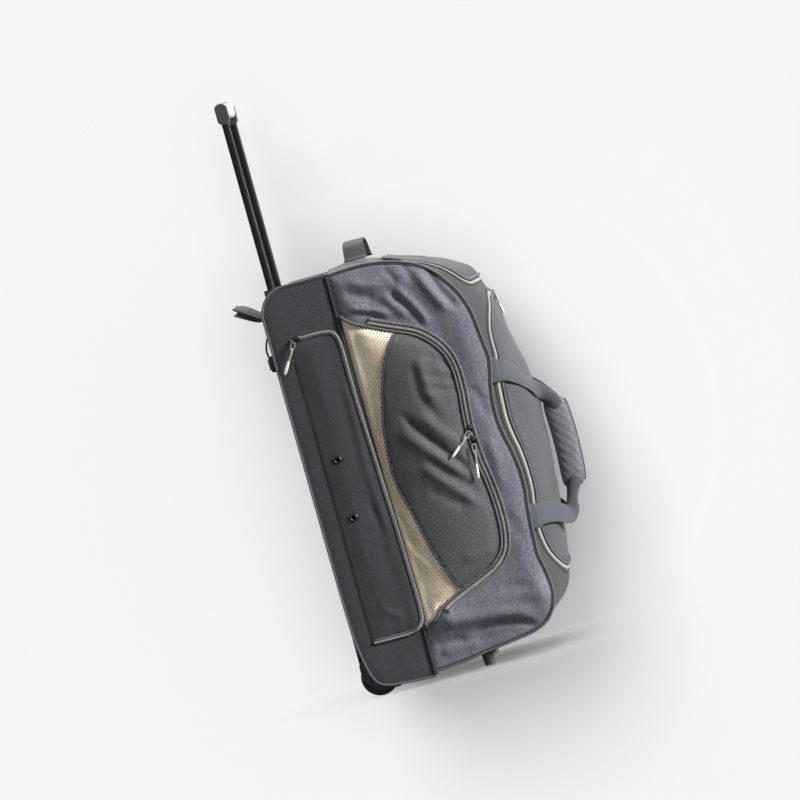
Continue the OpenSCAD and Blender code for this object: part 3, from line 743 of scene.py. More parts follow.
def h_main(Q, left=True):
    d = dist(Q, SIDE)
    h = np.where(inside(Q, SIDE), 1, 0) * (9.5 * (1 - np.exp(-d / 15.0)) - 3.5 * np.clip((d - 26) / 34, 0, 1))
    dp = dist(Q, POCKET)
    within = inside(Q, POCKET)
    h = h - np.where(within, 4.5 * (1 - np.exp(-dp / 9.0)), 0)
    h = h - 1.6 * np.exp(-((dp / 7.0) ** 2)) * (~within)
    low = np.clip((104 - Q[:, 1]) / 66, 0, 1)
    h = h + 8.0 * np.exp(-(((Q[:, 1] - 100) / 26) ** 2)) * np.clip((Q[:, 0] - 126) / 40, 0, 1) * inside(Q, SIDE) * np.clip(d / 18, 0, 1) * (~within)
    h = h - 6.5 * low * np.clip(d / 20, 0, 1)
    if left:
        h += fold(Q, [(216, 660), (224, 647), (234, 633), (246, 615), (254, 598), (257, 578)], -2.6, 3.6)
        h += fold(Q, [(226, 664), (238, 648), (250, 628), (262, 604), (268, 582)], 2.4, 6.5)
        h += fold(Q, [(200, 660), (212, 642), (226, 622), (238, 604)], 2.0, 6.5)
        h += fold(Q, [(286, 682), (292, 662), (301, 636), (314, 612), (326, 594)], -2.4, 6.0)
        h += fold(Q, [(268, 682), (279, 652), (292, 624), (306, 596)], 2.6, 7.5)
        h += fold(Q, [(136, 634), (152, 634), (176, 626), (204, 612)], -1.8, 4.0)
        h += fold(Q, [(140, 646), (162, 641), (186, 632), (214, 616)], 2.4, 5.5)
        h += fold(Q, [(140, 676), (166, 662), (196, 652)], -1.6, 7.0)
        h += fold(Q, [(150, 694), (180, 676), (214, 672)], 1.8, 8.0)
        h += fold(Q, [(216, 700), (226, 684), (236, 664)], -1.6, 6.0)
        h += fold(Q, [(246, 696), (256, 680), (262, 660)], -1.5, 5.0)
        h += fold(Q, [(138, 96), (170, 92), (206, 86), (250, 84), (292, 74), (324, 60)], 4.2, 13.0)
        h += fold(Q, [(196, 62), (222, 68), (250, 68), (274, 64), (296, 55), (314, 44)], -3.4, 5.0)
        h += fold(Q, [(132, 58), (160, 62), (192, 56)], -1.8, 5.0)
        h += fold(Q, [(136, 44), (170, 42), (214, 46)], 1.6, 7.0)
        h += fold(Q, [(262, 120), (292, 122), (322, 112)], -1.2, 8.0)
        h += fold(Q, [(306, 470), (318, 440), (322, 404)], -1.5, 8.0)
        h += fold(Q, [(312, 380), (316, 330), (314, 280)], 1.4, 9.0)
        h += fold(Q, [(304, 250), (316, 226), (322, 190)], -1.0, 8.0)
    else:
        h += fold(Q, [(190, 652), (226, 630), (262, 618)], -2.4, 7.0)
        h += fold(Q, [(260, 640), (286, 606), (310, 574)], 2.0, 8.0)
        h += fold(Q, [(180, 66), (226, 74), (276, 66)], -2.6, 7.0)
        h += fold(Q, [(302, 140), (318, 116), (334, 100)], 1.8, 9.0)
        h += fold(Q, [(316, 470), (322, 420), (318, 366)], -1.8, 8.0)
    return h + rough_cloth(Q, 0.4 if left else 2.1, 0.55) * np.clip(d / 20, 0, 1)


def h_pocket(Q, left=True):
    d = dist(Q, POCKET)
    k = np.where(inside(Q, POCKET), 1, 0)
    seam = np.clip((Q[:, 0] - 122) / 40, 0, 1)
    h = 0.3 + 6.2 * np.clip((Q[:, 0] - 122) / 11, 0, 1) + k * (1 - np.exp(-d / 20.0)) * (2.5 + 4.0 * seam)
    far = np.interp(Q[:, 1], [110, 150, 200, 250, 330, 400, 470, 520, 560, 600], [170, 250, 288, 298, 294, 288, 292, 288, 264, 210])
    h += k * 9.0 * np.sin(np.pi * np.clip((Q[:, 0] - 142) / np.maximum(30, far - 142), 0, 1)) * np.clip(d / 14, 0, 1)
    # the mesh sinks between the seam and the panel
    r, sh, sd = along(Q, MESH_LINE)
    in_mesh = MASK_MESH(Q)
    h -= in_mesh * 2.2 * (1 - np.exp(-r / 9.0)) * np.clip((Q[:, 0] - 120) / 14, 0, 1)
    if left:
        h += fold(Q, [(176, 462), (195, 432), (214, 403), (242, 366), (284, 312)], -3.0, 6.4)
        h += fold(Q, [(168, 436), (186, 408), (204, 388), (232, 352), (268, 316)], 2.6, 10.0)
        h += fold(Q, [(206, 450), (226, 424), (246, 398), (278, 362)], 2.2, 10.0)
        h += fold(Q, [(222, 540), (223, 505), (222, 476), (230, 453), (241, 428), (254, 402)], -1.4, 7.5)
        h += fold(Q, [(234, 545), (236, 508), (238, 474), (250, 446)], 2.4, 10.0)
        h += fold(Q, [(246, 540), (268, 522), (286, 504)], -1.5, 5.5)
        h += fold(Q, [(232, 507), (256, 498), (288, 486)], -1.3, 5.5)
        h += fold(Q, [(226, 484), (254, 476), (284, 468)], -1.1, 5.0)
        h += fold(Q, [(200, 378), (224, 348), (250, 318), (282, 284)], -1.9, 8.0)
        h += fold(Q, [(190, 362), (214, 332), (244, 300), (276, 262)], 2.2, 8.0)
        h += fold(Q, [(190, 320), (218, 296), (252, 270)], -1.2, 8.0)
        h += fold(Q, [(216, 190), (244, 186), (276, 196)], 1.0, 9.0)
        h += fold(Q, [(130, 300), (146, 262), (160, 222)], -1.6, 5.0)
        h += fold(Q, [(128, 250), (144, 214), (164, 180)], 1.2, 5.0)
        h += fold(Q, [(128, 420), (134, 380), (136, 330)], -1.0, 5.0)
    else:
        h += fold(Q, [(180, 470), (214, 430), (256, 392)], -3.0, 8.0)
        h += fold(Q, [(176, 440), (206, 404), (248, 366)], 2.6, 9.0)
        h += fold(Q, [(190, 330), (222, 300), (262, 262)], -2.4, 8.0)
        h += fold(Q, [(230, 545), (250, 510), (262, 470)], 1.8, 10.0)
    h = h + rough_cloth(Q, 1.7 if left else 3.3, 0.5) * np.clip(d / 18, 0, 1)
    return np.maximum(h, HM["left" if left else "right"](Q) + 1.0 * np.clip((Q[:, 0] - 122) / 6, 0, 1))


_mesh_poly = np.vstack([[[100, 660]], [[213, 660]], MESH_LINE, [[207, 60]], [[100, 60]]])


def MASK_MESH(Q):
    return inside(Q, _mesh_poly).astype(float)


def clip_loop(loop, poly, keep_inside=True):
    """The part of a closed loop on one side of a poly, as a loop closed along MESH_LINE."""
    k = inside(loop, poly) == keep_inside
    i = np.where(k & ~np.roll(k, 1))[0][0]
    run = np.roll(loop, -i, 0)
    n = int(np.argmin(np.roll(k, -i))) if not k.all() else len(loop)
    run = run[:n]
    line = MESH_LINE[inside(MESH_LINE, loop)]
    line = line[dist(line, loop) > 1.5]
    if np.linalg.norm(run[-1] - line[0]) > np.linalg.norm(run[-1] - line[-1]):
        line = line[::-1]
    return resample(np.vstack([run, line]), 4.0, True)


MESH_PART = clip_loop(POCKET, _mesh_poly, True)
PANEL_PART = clip_loop(POCKET, _mesh_poly, False)


def side_point(Q, H, s, lift=0.0):
    Q = np.asarray(Q, float)
    return np.stack([s * (HW + H(Q) + lift), Q[:, 0], Q[:, 1]], 1)


def side_normal(Q, H, s):
    e = 1.5
    ht = (H(Q + (e, 0)) - H(Q - (e, 0))) / (2 * e)
    hz = (H(Q + (0, e)) - H(Q - (0, e))) / (2 * e)
    n = np.stack([np.full(len(Q), float(s)), -ht, -hz], 1)
    return n / np.linalg.norm(n, axis=1)[:, None]


def panel(name, outer, holes, H, s, mat, body, lift=0.0, th=1.6, step=None, attrs=None):
    V, F = fill(outer, holes, step or STEP)
    P = side_point(V, H, s, lift)
    o = obj(name, P, F, mat, body, wv=V, attrs=attrs(V) if attrs else None)
    face_out(o, (s, 0, 0))
    return thick(o, th)


def zip_line(name, P, Nrm, body_in, body_out, side=1, tape=C_TAPE, teeth=C_TEETH, w=2.5, closed=False):
    """Both halves of a zip along P; B = T x N points to the outside for side = 1."""
    T, B, N_ = frames(P, Nrm, closed)
    for tag, body, sg in (("in", body_in, -side), ("out", body_out, side)):
        Q = P + B * sg * (w / 2 + 0.15)
        sweep(f"{name}_tape_{tag}", Q + N_ * 0.5, N_, strip(w, 1.0), tape, body, closed)
        # a dark strip under each tape shows past its outer side as a thin dark line: painted shade of the recess
        # between the zip and the cloth beside it
        Q = P + B * sg * (w / 2 + 1.15)
        sweep(f"{name}_edge_{tag}", Q, N_, strip(w + 2.0, 0.9), C_BIND, body, closed)
    Q = resample(P, 1.9, closed)
    idx = np.interp(np.linspace(0, 1, len(Q)), np.linspace(0, 1, len(P)), np.arange(len(P)))
    NN = np.stack([np.interp(idx, np.arange(len(P)), N_[:, k]) for k in range(3)], 1)
    T, B, NN = frames(Q, NN, closed)
    for tag, body, sg, sh in (("in", body_in, -side, 0), ("out", body_out, side, 1)):
        V, F = [], []
        for i in range(sh, len(Q), 2):
            o, a, b, c = Q[i] + NN[i] * 1.2, T[i], B[i] * sg, NN[i]
            k = len(V)
            for x, y in ((-0.7, -0.9), (0.7, -0.9), (0.7, 1.7), (-0.7, 1.7)):
                V.append(o + a * x + b * y)
            for x, y in ((-0.45, -0.6), (0.45, -0.6), (0.45, 1.4), (-0.45, 1.4)):
                V.append(o + a * x + b * y + c * 1.0)
            F += [(k, k + 3, k + 2, k + 1), (k + 4, k + 5, k + 6, k + 7)]
            F += [(k + j, k + (j + 1) % 4, k + 4 + (j + 1) % 4, k + 4 + j) for j in range(4)]
        o = obj(f"{name}_teeth_{tag}", np.array(V), F, teeth, body, wv=np.array(V)[:, 1:], smooth=False)
        recalc(o)


SIDES = {"left": -1, "right": 1}
HM, HP = {}, {}
for nm, s in SIDES.items():
    HM[nm] = grid_field(lambda Q: h_main(Q, nm == "left"), (100, 0), (362, 732))
    HP[nm] = grid_field(lambda Q: h_pocket(Q, nm == "left"), (100, 60), (320, 660))

for nm, s in SIDES.items():
    o = panel(f"side_cloth_{nm}", SIDE, [], HM[nm], s, C_HEATHER, "root", th=2.0)
    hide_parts(f"main_side_{nm}")
    hp = HP[nm]
    o = panel(f"pocket_cloth_{nm}", PANEL_PART, [], hp, s, C_POCKET, f"pocket_{nm}", lift=0.5, th=1.8)
    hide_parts(f"pocket_panel_{nm}")
    # the rim value carries the painted shade of the net along its seams and the dark panel's edge
    o = panel(f"pocket_net_{nm}", MESH_PART, [], hp, s, C_MESH, f"pocket_{nm}", lift=0.0, th=1.4, step=STEP * 0.8,
              attrs=lambda V: {"rim": np.exp(-np.minimum(dist(V, MESH_LINE, False), dist(V, POCKET[(POCKET[:, 0] > 128)], False)) / 13.0)})
    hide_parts(f"pocket_mesh_{nm}")
    # turned edge of the dark panel over the net
    L = MESH_LINE[inside(MESH_LINE, POCKET)]
    sweep(f"pocket_hem_{nm}", side_point(L, hp, s, 0.6), side_normal(L, hp, s), strip(3.2, 1.5), C_POCKET, f"pocket_{nm}")
    chips(f"pocket_hem_stitch_{nm}", side_point(L + (3.4, 0), hp, s, 0.5), side_normal(L, hp, s)[0], (2.2, 0.5, 0.35), C_THREAD_DARK, f"pocket_{nm}", 3.4)
    # piping round the pocket, just inside its zip
    front = POCKET[(dist(POCKET, np.array([[122.0, 660.0], [126.0, 60.0]]), False) > 3)]
    front = resample(spline(front, 3.0), 3.0)
    sweep(f"pocket_piping_{nm}", side_point(front, lambda Q: np.maximum(hp(Q), HM[nm](Q) + 0.6), s, 1.2), side_normal(front, hp, s), circle(2.5, 10), C_PIPE, f"pocket_{nm}")
    edge = offset(front, 3.2)
    if inside(edge[len(edge) // 2][None], POCKET)[0]:
        edge = offset(front, -3.2)
    # zip, in both halves, and the lip of the heather cloth beyond it
    zl = zip_p[::1]
    hz = lambda Q: np.maximum(HM[nm](Q), 3.2)  # noqa
    P3 = side_point(zl, hz, s, 0.6)
    N3 = side_normal(zl, hz, s)
    T, B, _ = frames(P3, N3)
    cen = P3[len(P3) // 2] + B[len(P3) // 2] * 5
    sg = 1 if not inside(cen[None, 1:], POCKET)[0] else -1
    zip_line(f"pocket_zip_{nm}", P3, N3, f"pocket_{nm}", "root", sg)
    lip = offset(zip_p, 6.4)
    if inside(lip[len(lip) // 2][None], POCKET)[0]:
        lip = offset(zip_p, -6.4)
    sweep(f"pocket_lip_{nm}", side_point(lip, hz, s, -0.2), side_normal(lip, hz, s), strip(5.0, 2.6), C_HEATHER, "root")
    chips(f"pocket_lip_stitch_{nm}", side_point(offset(lip, 0.0), hz, s, 2.35), side_normal(lip, hz, s)[0], (2.2, 0.5, 0.35), C_THREAD, "root", 3.6)

# ------------------------------------------------------------- piping edges

for nm, s in SIDES.items():
    run = resample(_side, 4.0)
    P = np.stack([np.full(len(run), s * 170.8), run[:, 0], run[:, 1]], 1)
    o = sweep(f"edge_piping_{nm}", P, (s, 0, 0), circle(2.1, 10), C_PIPE, "root")
    if s < 0:
        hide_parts("seam_piping")
    # dark strip beside the piping on the side panel: painted shade of the groove where the panel meets the piping
    cen = run.mean(0)
    inn = offset(run, 3.4)
    if not inside(inn[len(inn) // 2][None], SIDE)[0]:
        inn = offset(run, -3.4)
    H = HM[nm]
    sweep(f"edge_binding_{nm}", side_point(inn, H, s, 0.1), side_normal(inn, H, s), strip(2.4, 1.0), C_BIND, "root")

# --------------------------------------------------------- gussets and lid


def lid_loop(grow):
    L = inset(LID, -grow)
    if dist(L[:1], LID)[0] > 0 and (L[:, 0].max() < LID[:, 0].max()) == (grow > 0):
        L = inset(LID, grow)
    return L


def loop_xs(L):
    return np.stack([L[:, 0], s_of(L[:, 0], L[:, 1])], 1)


outer = resample([(-HW, 0), (HW, 0), (HW, S_END), (-HW, S_END)], 4.5, True)
hole = loop_xs(lid_loop(9.5))
V, F = fill(outer, [hole], STEP)
# the gussets wear the darker copy of the lid's charcoal cloth: painted shade
o = obj("gusset_cloth", band(V[:, 0], V[:, 1]), F, C_GUSSET_SHADED, "root", wv=V)
face_out(o, lambda c: np.array([0, -1.0, 0]) if c[1] < 0 else np.array([0, 0, np.sign(c[2] - 0.36)]))
thick(o, 2.2)
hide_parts("gusset_top", "gusset_bottom", "lid_frame")

lid_in = loop_xs(lid_loop(-1.0))
V, F = fill(lid_in, [], STEP)
dl = dist(V, lid_in)
o = obj("lid_cloth", band(V[:, 0], V[:, 1], 1.0 + 3.0 * (1 - np.exp(-dl / 22.0))), F, C_LID, "lid", wv=V)
face_out(o, (0, -1, 0))
thick(o, 2.4)
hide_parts("lid_flap")

# the zip runs round three sides and the lid hangs on the fourth
zl = lid_loop(4.4)
order = np.argsort(np.arctan2(zl[:, 1] - 365, -(zl[:, 0]) + 1e-9))
keep = ~((zl[:, 0] > 149) & (zl[:, 1] > 208) & (zl[:, 1] < 496))
i0 = np.where(keep & ~np.roll(keep, 1))[0][0]
zl = np.roll(zl, -i0, 0)[: keep.sum()]
P3, N3 = on_band(zl, 0.3)
T, B, _ = frames(P3, N3)
m = len(P3) // 2
sg = 1 if np.linalg.norm((P3[m] + B[m] * 8)[[0, 2]] - (0, 365)) > np.linalg.norm(P3[m][[0, 2]] - (0, 365)) else -1
zip_line("lid_zip", P3, N3, "lid", "root", sg, w=3.4)
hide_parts("zip_tapes")
P3, N3 = on_band(lid_loop(-1.6), 3.2)
sweep("lid_piping", P3, N3, circle(2.5, 10), C_PIPE, "lid", closed=True)
P3, N3 = on_band(lid_loop(-6.0), 3.6)
sweep("lid_binding", P3, N3, strip(3.6, 1.0), C_BIND, "lid", closed=True)
P3, N3 = on_band(lid_loop(11.0), 0.2)
sweep("frame_binding", P3, N3, strip(4.2, 1.3), C_BIND, "root", closed=True)
hinge = lid_loop(4.6)
hinge = hinge[(hinge[:, 0] > 146) & (hinge[:, 1] > 190) & (hinge[:, 1] < 514)]
hinge = hinge[np.argsort(hinge[:, 1])]
P3, N3 = on_band(hinge, -0.6)
o = sweep("lid_hinge_web", P3, N3, strip(13, 1.6), C_BIND, None)
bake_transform(o)

# ---------------------------------------------------------------- end pocket

_top = np.linspace(S_END * 0.70, S_END * 0.93, 200)


def top_loop(w, z0, s1, r):
    """Loop in (x, s) on the top gusset, between heights found along the piping."""
    s0 = float(np.interp(z0, band_at(_top)[1][:100], _top[:100]))
    return rrect(0, (s0 + s1) / 2, w, s1 - s0, r)


EP = top_loop(262, 634, S_END - 96, 26)
V, F = fill(EP, [], STEP)
dl = dist(V, EP)
o = obj("end_pocket_cloth", band(V[:, 0], V[:, 1], 1.8 + 2.2 * (1 - np.exp(-dl / 16.0))), F, C_BASE, "root", wv=V)
face_out(o, (0, -0.5, 1))
thick(o, 2.0)
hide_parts("end_pocket")


def on_top(L, lift):
    n = band_normal(L[:, 0], L[:, 1])
    return band(L[:, 0], L[:, 1]) + n * lift, n


P3, N3 = on_top(EP, 3.0)
sweep("end_pocket_piping", P3, N3, circle(2.6, 10), C_PIPE, "root", closed=True)
ez = offset(EP, -7.0, True)
if ez[:, 0].max() < EP[:, 0].max():
    ez = offset(EP, 7.0, True)
k = ez[:, 1] < EP[:, 1].max() - 30
i0 = np.where(k & ~np.roll(k, 1))[0][0]
ez = np.roll(ez, -i0, 0)[: k.sum()]
P3, N3 = on_top(ez, 0.6)
zip_line("end_pocket_zip", P3, N3, "root", "root", 1)

# -------------------------------------------------------------- base section


def arcpts(ct, cz, r, a0, a1, n=12):
    return [(ct + r * math.cos(math.radians(a0 + (a1 - a0) * i / n)), cz + r * math.sin(math.radians(a0 + (a1 - a0) * i / n))) for i in range(n + 1)]


BASE_RUN = np.array([(122, 712)] + arcpts(47, 665, 47, 90, 180)
                    + [tuple(p) for p in spline([(0, 640), (0.4, 500), (1, 350), (1.6, 220), (2.6, 140), (4.6, 100), (9, 68), (16, 38), (26, 22),
                                                 (42, 15.5), (68, 13), (96, 11), (122, 10)], 4)])
BASE_RUN = resample(BASE_RUN, 3.0)
_bs = np.r_[0, np.cumsum(np.hypot(*np.diff(BASE_RUN, axis=0).T))]
B_END = _bs[-1]


def base_band(x, s, lift=0.0):
    t, z = np.interp(s, _bs, BASE_RUN[:, 0]), np.interp(s, _bs, BASE_RUN[:, 1])
    a = [np.interp(s + 2, _bs, BASE_RUN[:, k]) - np.interp(s - 2, _bs, BASE_RUN[:, k]) for k in (0, 1)]
    L = np.hypot(*a) + 1e-9
    nt, nz = a[1] / L, -a[0] / L
    h = lift - 0.7 * (1 - (np.abs(x) / HW) ** 8) + 0.3 * np.sin(s / 41 + x / 60) * (1 - (np.abs(x) / HW) ** 6)
    return np.stack([x * np.ones_like(t), t + nt * h, z + nz * h], -1)


def base_s(t=None, z=None, low=True):
    k = np.arange(len(_bs))
    if z is not None:
        sel = (BASE_RUN[:, 0] < 20)
        kk = k[sel]
        return float(np.interp(-z, -BASE_RUN[kk, 1], _bs[kk]))
    half = BASE_RUN[:, 1] < 300 if low else BASE_RUN[:, 1] > 400
    kk = k[half]
    tt = BASE_RUN[kk, 0]
    if tt[0] > tt[-1]:
        kk, tt = kk[::-1], tt[::-1]
    return float(np.interp(t, tt, _bs[kk]))


wells = []
s_hi, s_lo = base_s(z=73.0), base_s(t=68.0)
for s in (-1, 1):
    wells.append(resample([(s * 138 - 18.2, s_hi), (s * 138 + 18.2, s_hi), (s * 138 + 18.2, s_lo), (s * 138 - 18.2, s_lo)], 4.0, True))
s_a, s_b = base_s(t=35.5, low=False), base_s(t=9.5, low=False)
slot = resample([(-112.5, s_a), (112.5, s_a), (112.5, s_b), (-112.5, s_b)], 4.0, True)
outer = resample([(-HW, 0), (HW, 0), (HW, B_END), (-HW, B_END)], 4.5, True)
V, F = fill(outer, wells + [slot], STEP)
o = obj("base_shell", base_band(V[:, 0], V[:, 1]), F, C_BASE, "root", wv=V)
face_out(o, lambda c: np.array([0, 1.0, 0]) if 0.06 < c[2] < 0.66 else np.array([0, 0, np.sign(c[2] - 0.36)]))
thick(o, 2.2)
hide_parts("back_panel", "base_top_panel", "base_bottom_panel")

BASE_SIDE = resample(np.vstack([BASE_RUN, [[121.9, 12]], [[121.9, 700]]]), 4.0, True)
DOOR_EDGE = [(96, 620), (108, 616), (114, 606), (116.5, 590), (117, 540), (117.5, 500), (118.5, 455), (120.5, 400), (122.5, 340), (124.5, 280),
             (126, 222), (127, 170), (127, 126), (124, 106), (114, 95), (98, 91)]
DOOR = resample(np.vstack([[[31, 619]], offset(spline(DOOR_EDGE, 4), -1.5), [[31, 93]]]), 4.0, True)


def h_base(Q):
    d = dist(Q, BASE_SIDE)
    h = 2.2 * (1 - np.exp(-d / 9.0)) * inside(Q, BASE_SIDE)
    return h + 0.3 * rough_cloth(Q, 4.0, 0.6) * np.clip(np.abs(Q[:, 0] - 31) / 10, 0, 1)


def h_door(Q):
    d = dist(Q, DOOR)
    h = 2.3 + 0.8 * np.clip((Q[:, 0] - 31) / 14, 0, 1) + 3.4 * (1 - np.exp(-d / 16.0)) * np.clip((Q[:, 0] - 31) / 30, 0, 1) * inside(Q, DOOR) + 1.9 * np.clip((Q[:, 0] - 96) / 18, 0, 1)
    h += fold(Q, [(100, 560), (104, 470), (101, 380), (105, 300), (101, 200)], 0.9, 6.0)
    h += fold(Q, [(88, 330), (98, 290), (104, 240)], -0.8, 5.0)
    h += fold(Q, [(60, 150), (78, 130), (98, 118)], 0.7, 6.0)
    return h + rough_cloth(Q, 5.0, 0.35) * np.clip((Q[:, 0] - 36) / 24, 0, 1)


HB = grid_field(h_base, (-6, 0), (130, 724))
HD = grid_field(h_door, (20, 80), (132, 632))
door_hole = resample([(42, 606)] + arcpts(98, 594, 12, 90, 0, 8) + arcpts(98, 118, 12, 0, -90, 8) + [(42, 106)], 4.0, True)
for nm, s in SIDES.items():
    o = panel(f"base_cloth_{nm}", BASE_SIDE, [door_hole] if s < 0 else [], HB, s, C_BASE, "root", th=2.0)
    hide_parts(f"base_side_{nm}")
    P = np.stack([np.full(len(BASE_RUN), s * 170.6), BASE_RUN[:, 0], BASE_RUN[:, 1]], 1)
    sweep(f"base_piping_{nm}", P, (s, 0, 0), circle(2.1, 10), C_PIPE, "root")
    # dark strip beside the base piping: painted shade of the groove where the panel meets the piping
    inn = offset(BASE_RUN, 3.4)
    if not inside(inn[len(inn) // 2][None], BASE_SIDE)[0]:
        inn = offset(BASE_RUN, -3.4)
    sweep(f"base_binding_{nm}", side_point(inn, HB, s, 0.1), side_normal(inn, HB, s), strip(2.4, 1.0), C_BIND, "root")
    # the seam between the base and the main compartment
    z = np.linspace(12, 708, 170)
    bow = 119.6 + 0.4 * np.sin(z / 90.0)
    P = np.stack([np.full(len(z), s * 172.0), bow + 1.4, z], 1)
    # on the left the seam piping takes the dark binding cloth as painted shade; the right one keeps the grey piping
    # cloth
    sweep(f"seam_piping_{nm}", P, (s, 0, 0), circle(2.0, 10), C_PIPE if s > 0 else C_BIND, "root")
    # a dark strip beside the seam piping: painted shade of the groove in the seam
    P = np.stack([np.full(len(z), s * 170.6), bow + 3.9, z], 1)
    sweep(f"seam_shade_strip_{nm}", P, (s, 0, 0), strip(6.2, 2.3), C_BIND, "root")

eyes = []
for z in (405, 304):
    a = np.linspace(0, 2 * math.pi, 25)[:-1]
    eyes.append(np.stack([58 + 4.9 * np.cos(a), z + 4.9 * np.sin(a)], 1))
o = panel("door_cloth", DOOR, eyes, HD, -1, C_BASE, None, lift=0.0, th=1.8)
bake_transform(o)
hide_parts("base_door")
for i, z in enumerate((405, 304)):
    x = -(HW + float(HD(np.array([[58.0, z]]))[0]))
    prof = [(-1.9, -0.2), (-1.2, 0.7), (0, 1.1), (1.4, 0.9), (2.6, 0.2), (2.6, -0.3), (0, -0.3), (-1.0, -3.6), (-1.9, -3.6)]
    a = np.linspace(0, 2 * math.pi, 41)[:-1]
    P = np.stack([np.full(40, x), 58 + 5.6 * np.cos(a), z + 5.6 * np.sin(a)], 1)
    o = sweep(f"eyelet_{i}", P, (-1, 0, 0), prof, C_DARKMETAL, "door", closed=True)
    if i == 0:
        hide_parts("vent_eyelets")
L = spline([(36, 620.6), (70, 621.2)] + DOOR_EDGE + [(70, 90.5), (36, 91)], 3.0)
P3 = side_point(L, HB, -1, 1.4)
P3[:, 0] -= 3.4 * np.clip((L[:, 0] - 104) / 10, 0, 1)
N3 = np.tile([-1.0, 0, 0], (len(L), 1))
T, B, _ = frames(P3, N3)
m = len(L) // 2
sg = 1 if not inside((P3[m] + B[m] * 8)[None, 1:], DOOR)[0] else -1
zip_line("door_zip", P3, N3, "door", "root", sg, w=1.2)
rim = offset(L, 3.6)
if not inside(rim[m][None], DOOR)[0]:
    rim = offset(L, -3.6)
sweep("door_edge", side_point(rim, HD, -1, 0.4), (-1, 0, 0), circle(1.7, 8), C_PIPE, "door")
z = np.linspace(96, 617, 120)
L = np.stack([np.full(120, 33.5), z], 1)
chips("door_hinge_stitch", side_point(L, HD, -1, 1.8), (-1, 0, 0), (2.4, 0.55, 0.4), C_THREAD_DARK, "door", 3.6)

# ------------------------------------------------------------ zip hardware


def slider(name, pos, N, d, body, node, mat=C_DARKMETAL):
    """A zip slider at pos, running along d, with N up."""
    N = np.array(N, float) / np.linalg.norm(N)
    d = np.array(d, float)
    d -= N * (N @ d)
    d /= np.linalg.norm(d)
    b = np.cross(d, N)
    pos = np.array(pos, float)
    rings = []
    for y, w, h in ((-6.0, 3.0, 1.2), (-5.2, 4.0, 2.0), (-1, 4.4, 2.5), (2.5, 4.9, 2.6), (5.2, 4.6, 2.0), (6.0, 3.6, 1.2)):
        rings.append([pos + d * y + b * (w * cx) + N * (0.6 + h * cz) for cx, cz in
                      ((-1, 0), (-1, .7), (-.7, 1), (.7, 1), (1, .7), (1, 0))])
    V = np.array([p for r_ in rings for p in r_])
    F = []
    k = 6
    for i in range(len(rings) - 1):
        for j in range(k):
            F.append((i * k + j, i * k + (j + 1) % k, (i + 1) * k + (j + 1) % k, (i + 1) * k + j))
    F += [tuple(range(k))[::-1], tuple((len(rings) - 1) * k + j for j in range(k))]
    o = recalc(obj(name, V, F, mat, body, wv=V[:, 1:]))
    bridge = spline([pos + d * -3.6 + N * 2.6, pos + d * -3.0 + N * 5.4, pos + N * 6.4, pos + d * 3.0 + N * 5.4, pos + d * 3.6 + N * 2.6], 0.8)
    sweep(name + "_bridge", bridge, b, circle(0.95, 8), mat, body)
    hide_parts(node)
    return o


def pull(name, eye, d, N, length, body, node):
    """A wire ring, a cord and a moulded end, hanging along d."""
    d, N = np.array(d, float), np.array(N, float)
    d /= np.linalg.norm(d)
    N /= np.linalg.norm(N)
    b = np.cross(d, N)
    eye = np.array(eye, float)
    plate = [(-2.6, 0, 1.2), (-4.2, 3, 1.5), (-4.2, 9, 1.5), (-3.0, 15, 1.3), (3.0, 15, 1.3), (4.2, 9, 1.5), (4.2, 3, 1.5), (2.6, 0, 1.2)]
    V, F = [], []
    hole = [(-1.8, 2), (-2.4, 4.5), (-2.4, 8.5), (-1.6, 11), (1.6, 11), (2.4, 8.5), (2.4, 4.5), (1.8, 2)]
    n = len(plate)
    for up in (-0.55, 0.55):
        V += [eye + b * x + d * y + N * up for x, y, _ in plate]
        V += [eye + b * x + d * y + N * up for x, y in hole]
    for j in range(n):
        j2 = (j + 1) % n
        F.append((j, j2, n + j2, n + j))
        F.append((2 * n + j, 2 * n + j2, 3 * n + j2, 3 * n + j))
        F.append((j, j2, 2 * n + j2, 2 * n + j))
        F.append((n + j, n + j2, 3 * n + j2, 3 * n + j))
    o = recalc(obj(name, np.array(V), F, C_STEEL, body, wv=np.array(V)[:, 1:], smooth=False))
    L = length
    c = spline([eye + d * 12, eye + d * (12 + L * .15) + b * 1.0 + N * 0.8, eye + d * (L * .52) + b * 0.4 + N * .4, eye + d * (L * .62)], 1.5)
    for sgn in (-1, 1):
        sweep(f"{name}_cord_{'a' if sgn < 0 else 'b'}", c + b * sgn * 0.8, N, circle(0.85, 8), C_CORD, body)
    e = np.array([eye + d * (L * f) for f in (0.58, 0.63, 0.72, 0.85, 0.96, 1.0)])
    sweep(name + "_end", e, N, circle(1.0, 12, 0.7), C_TAB, body, scale=[1.5, 2.1, 2.5, 2.6, 2.2, 1.2])
    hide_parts(node)
    return o


def dir_of(turn):
    a = math.radians(turn)
    return np.array([0, math.sin(a), -math.cos(a)])


def zip_point(z):
    k = int(np.argmin(np.abs(zip_p[:, 1] - z) + 1000 * (zip_p[:, 0] < 270)))
    return zip_p[k]


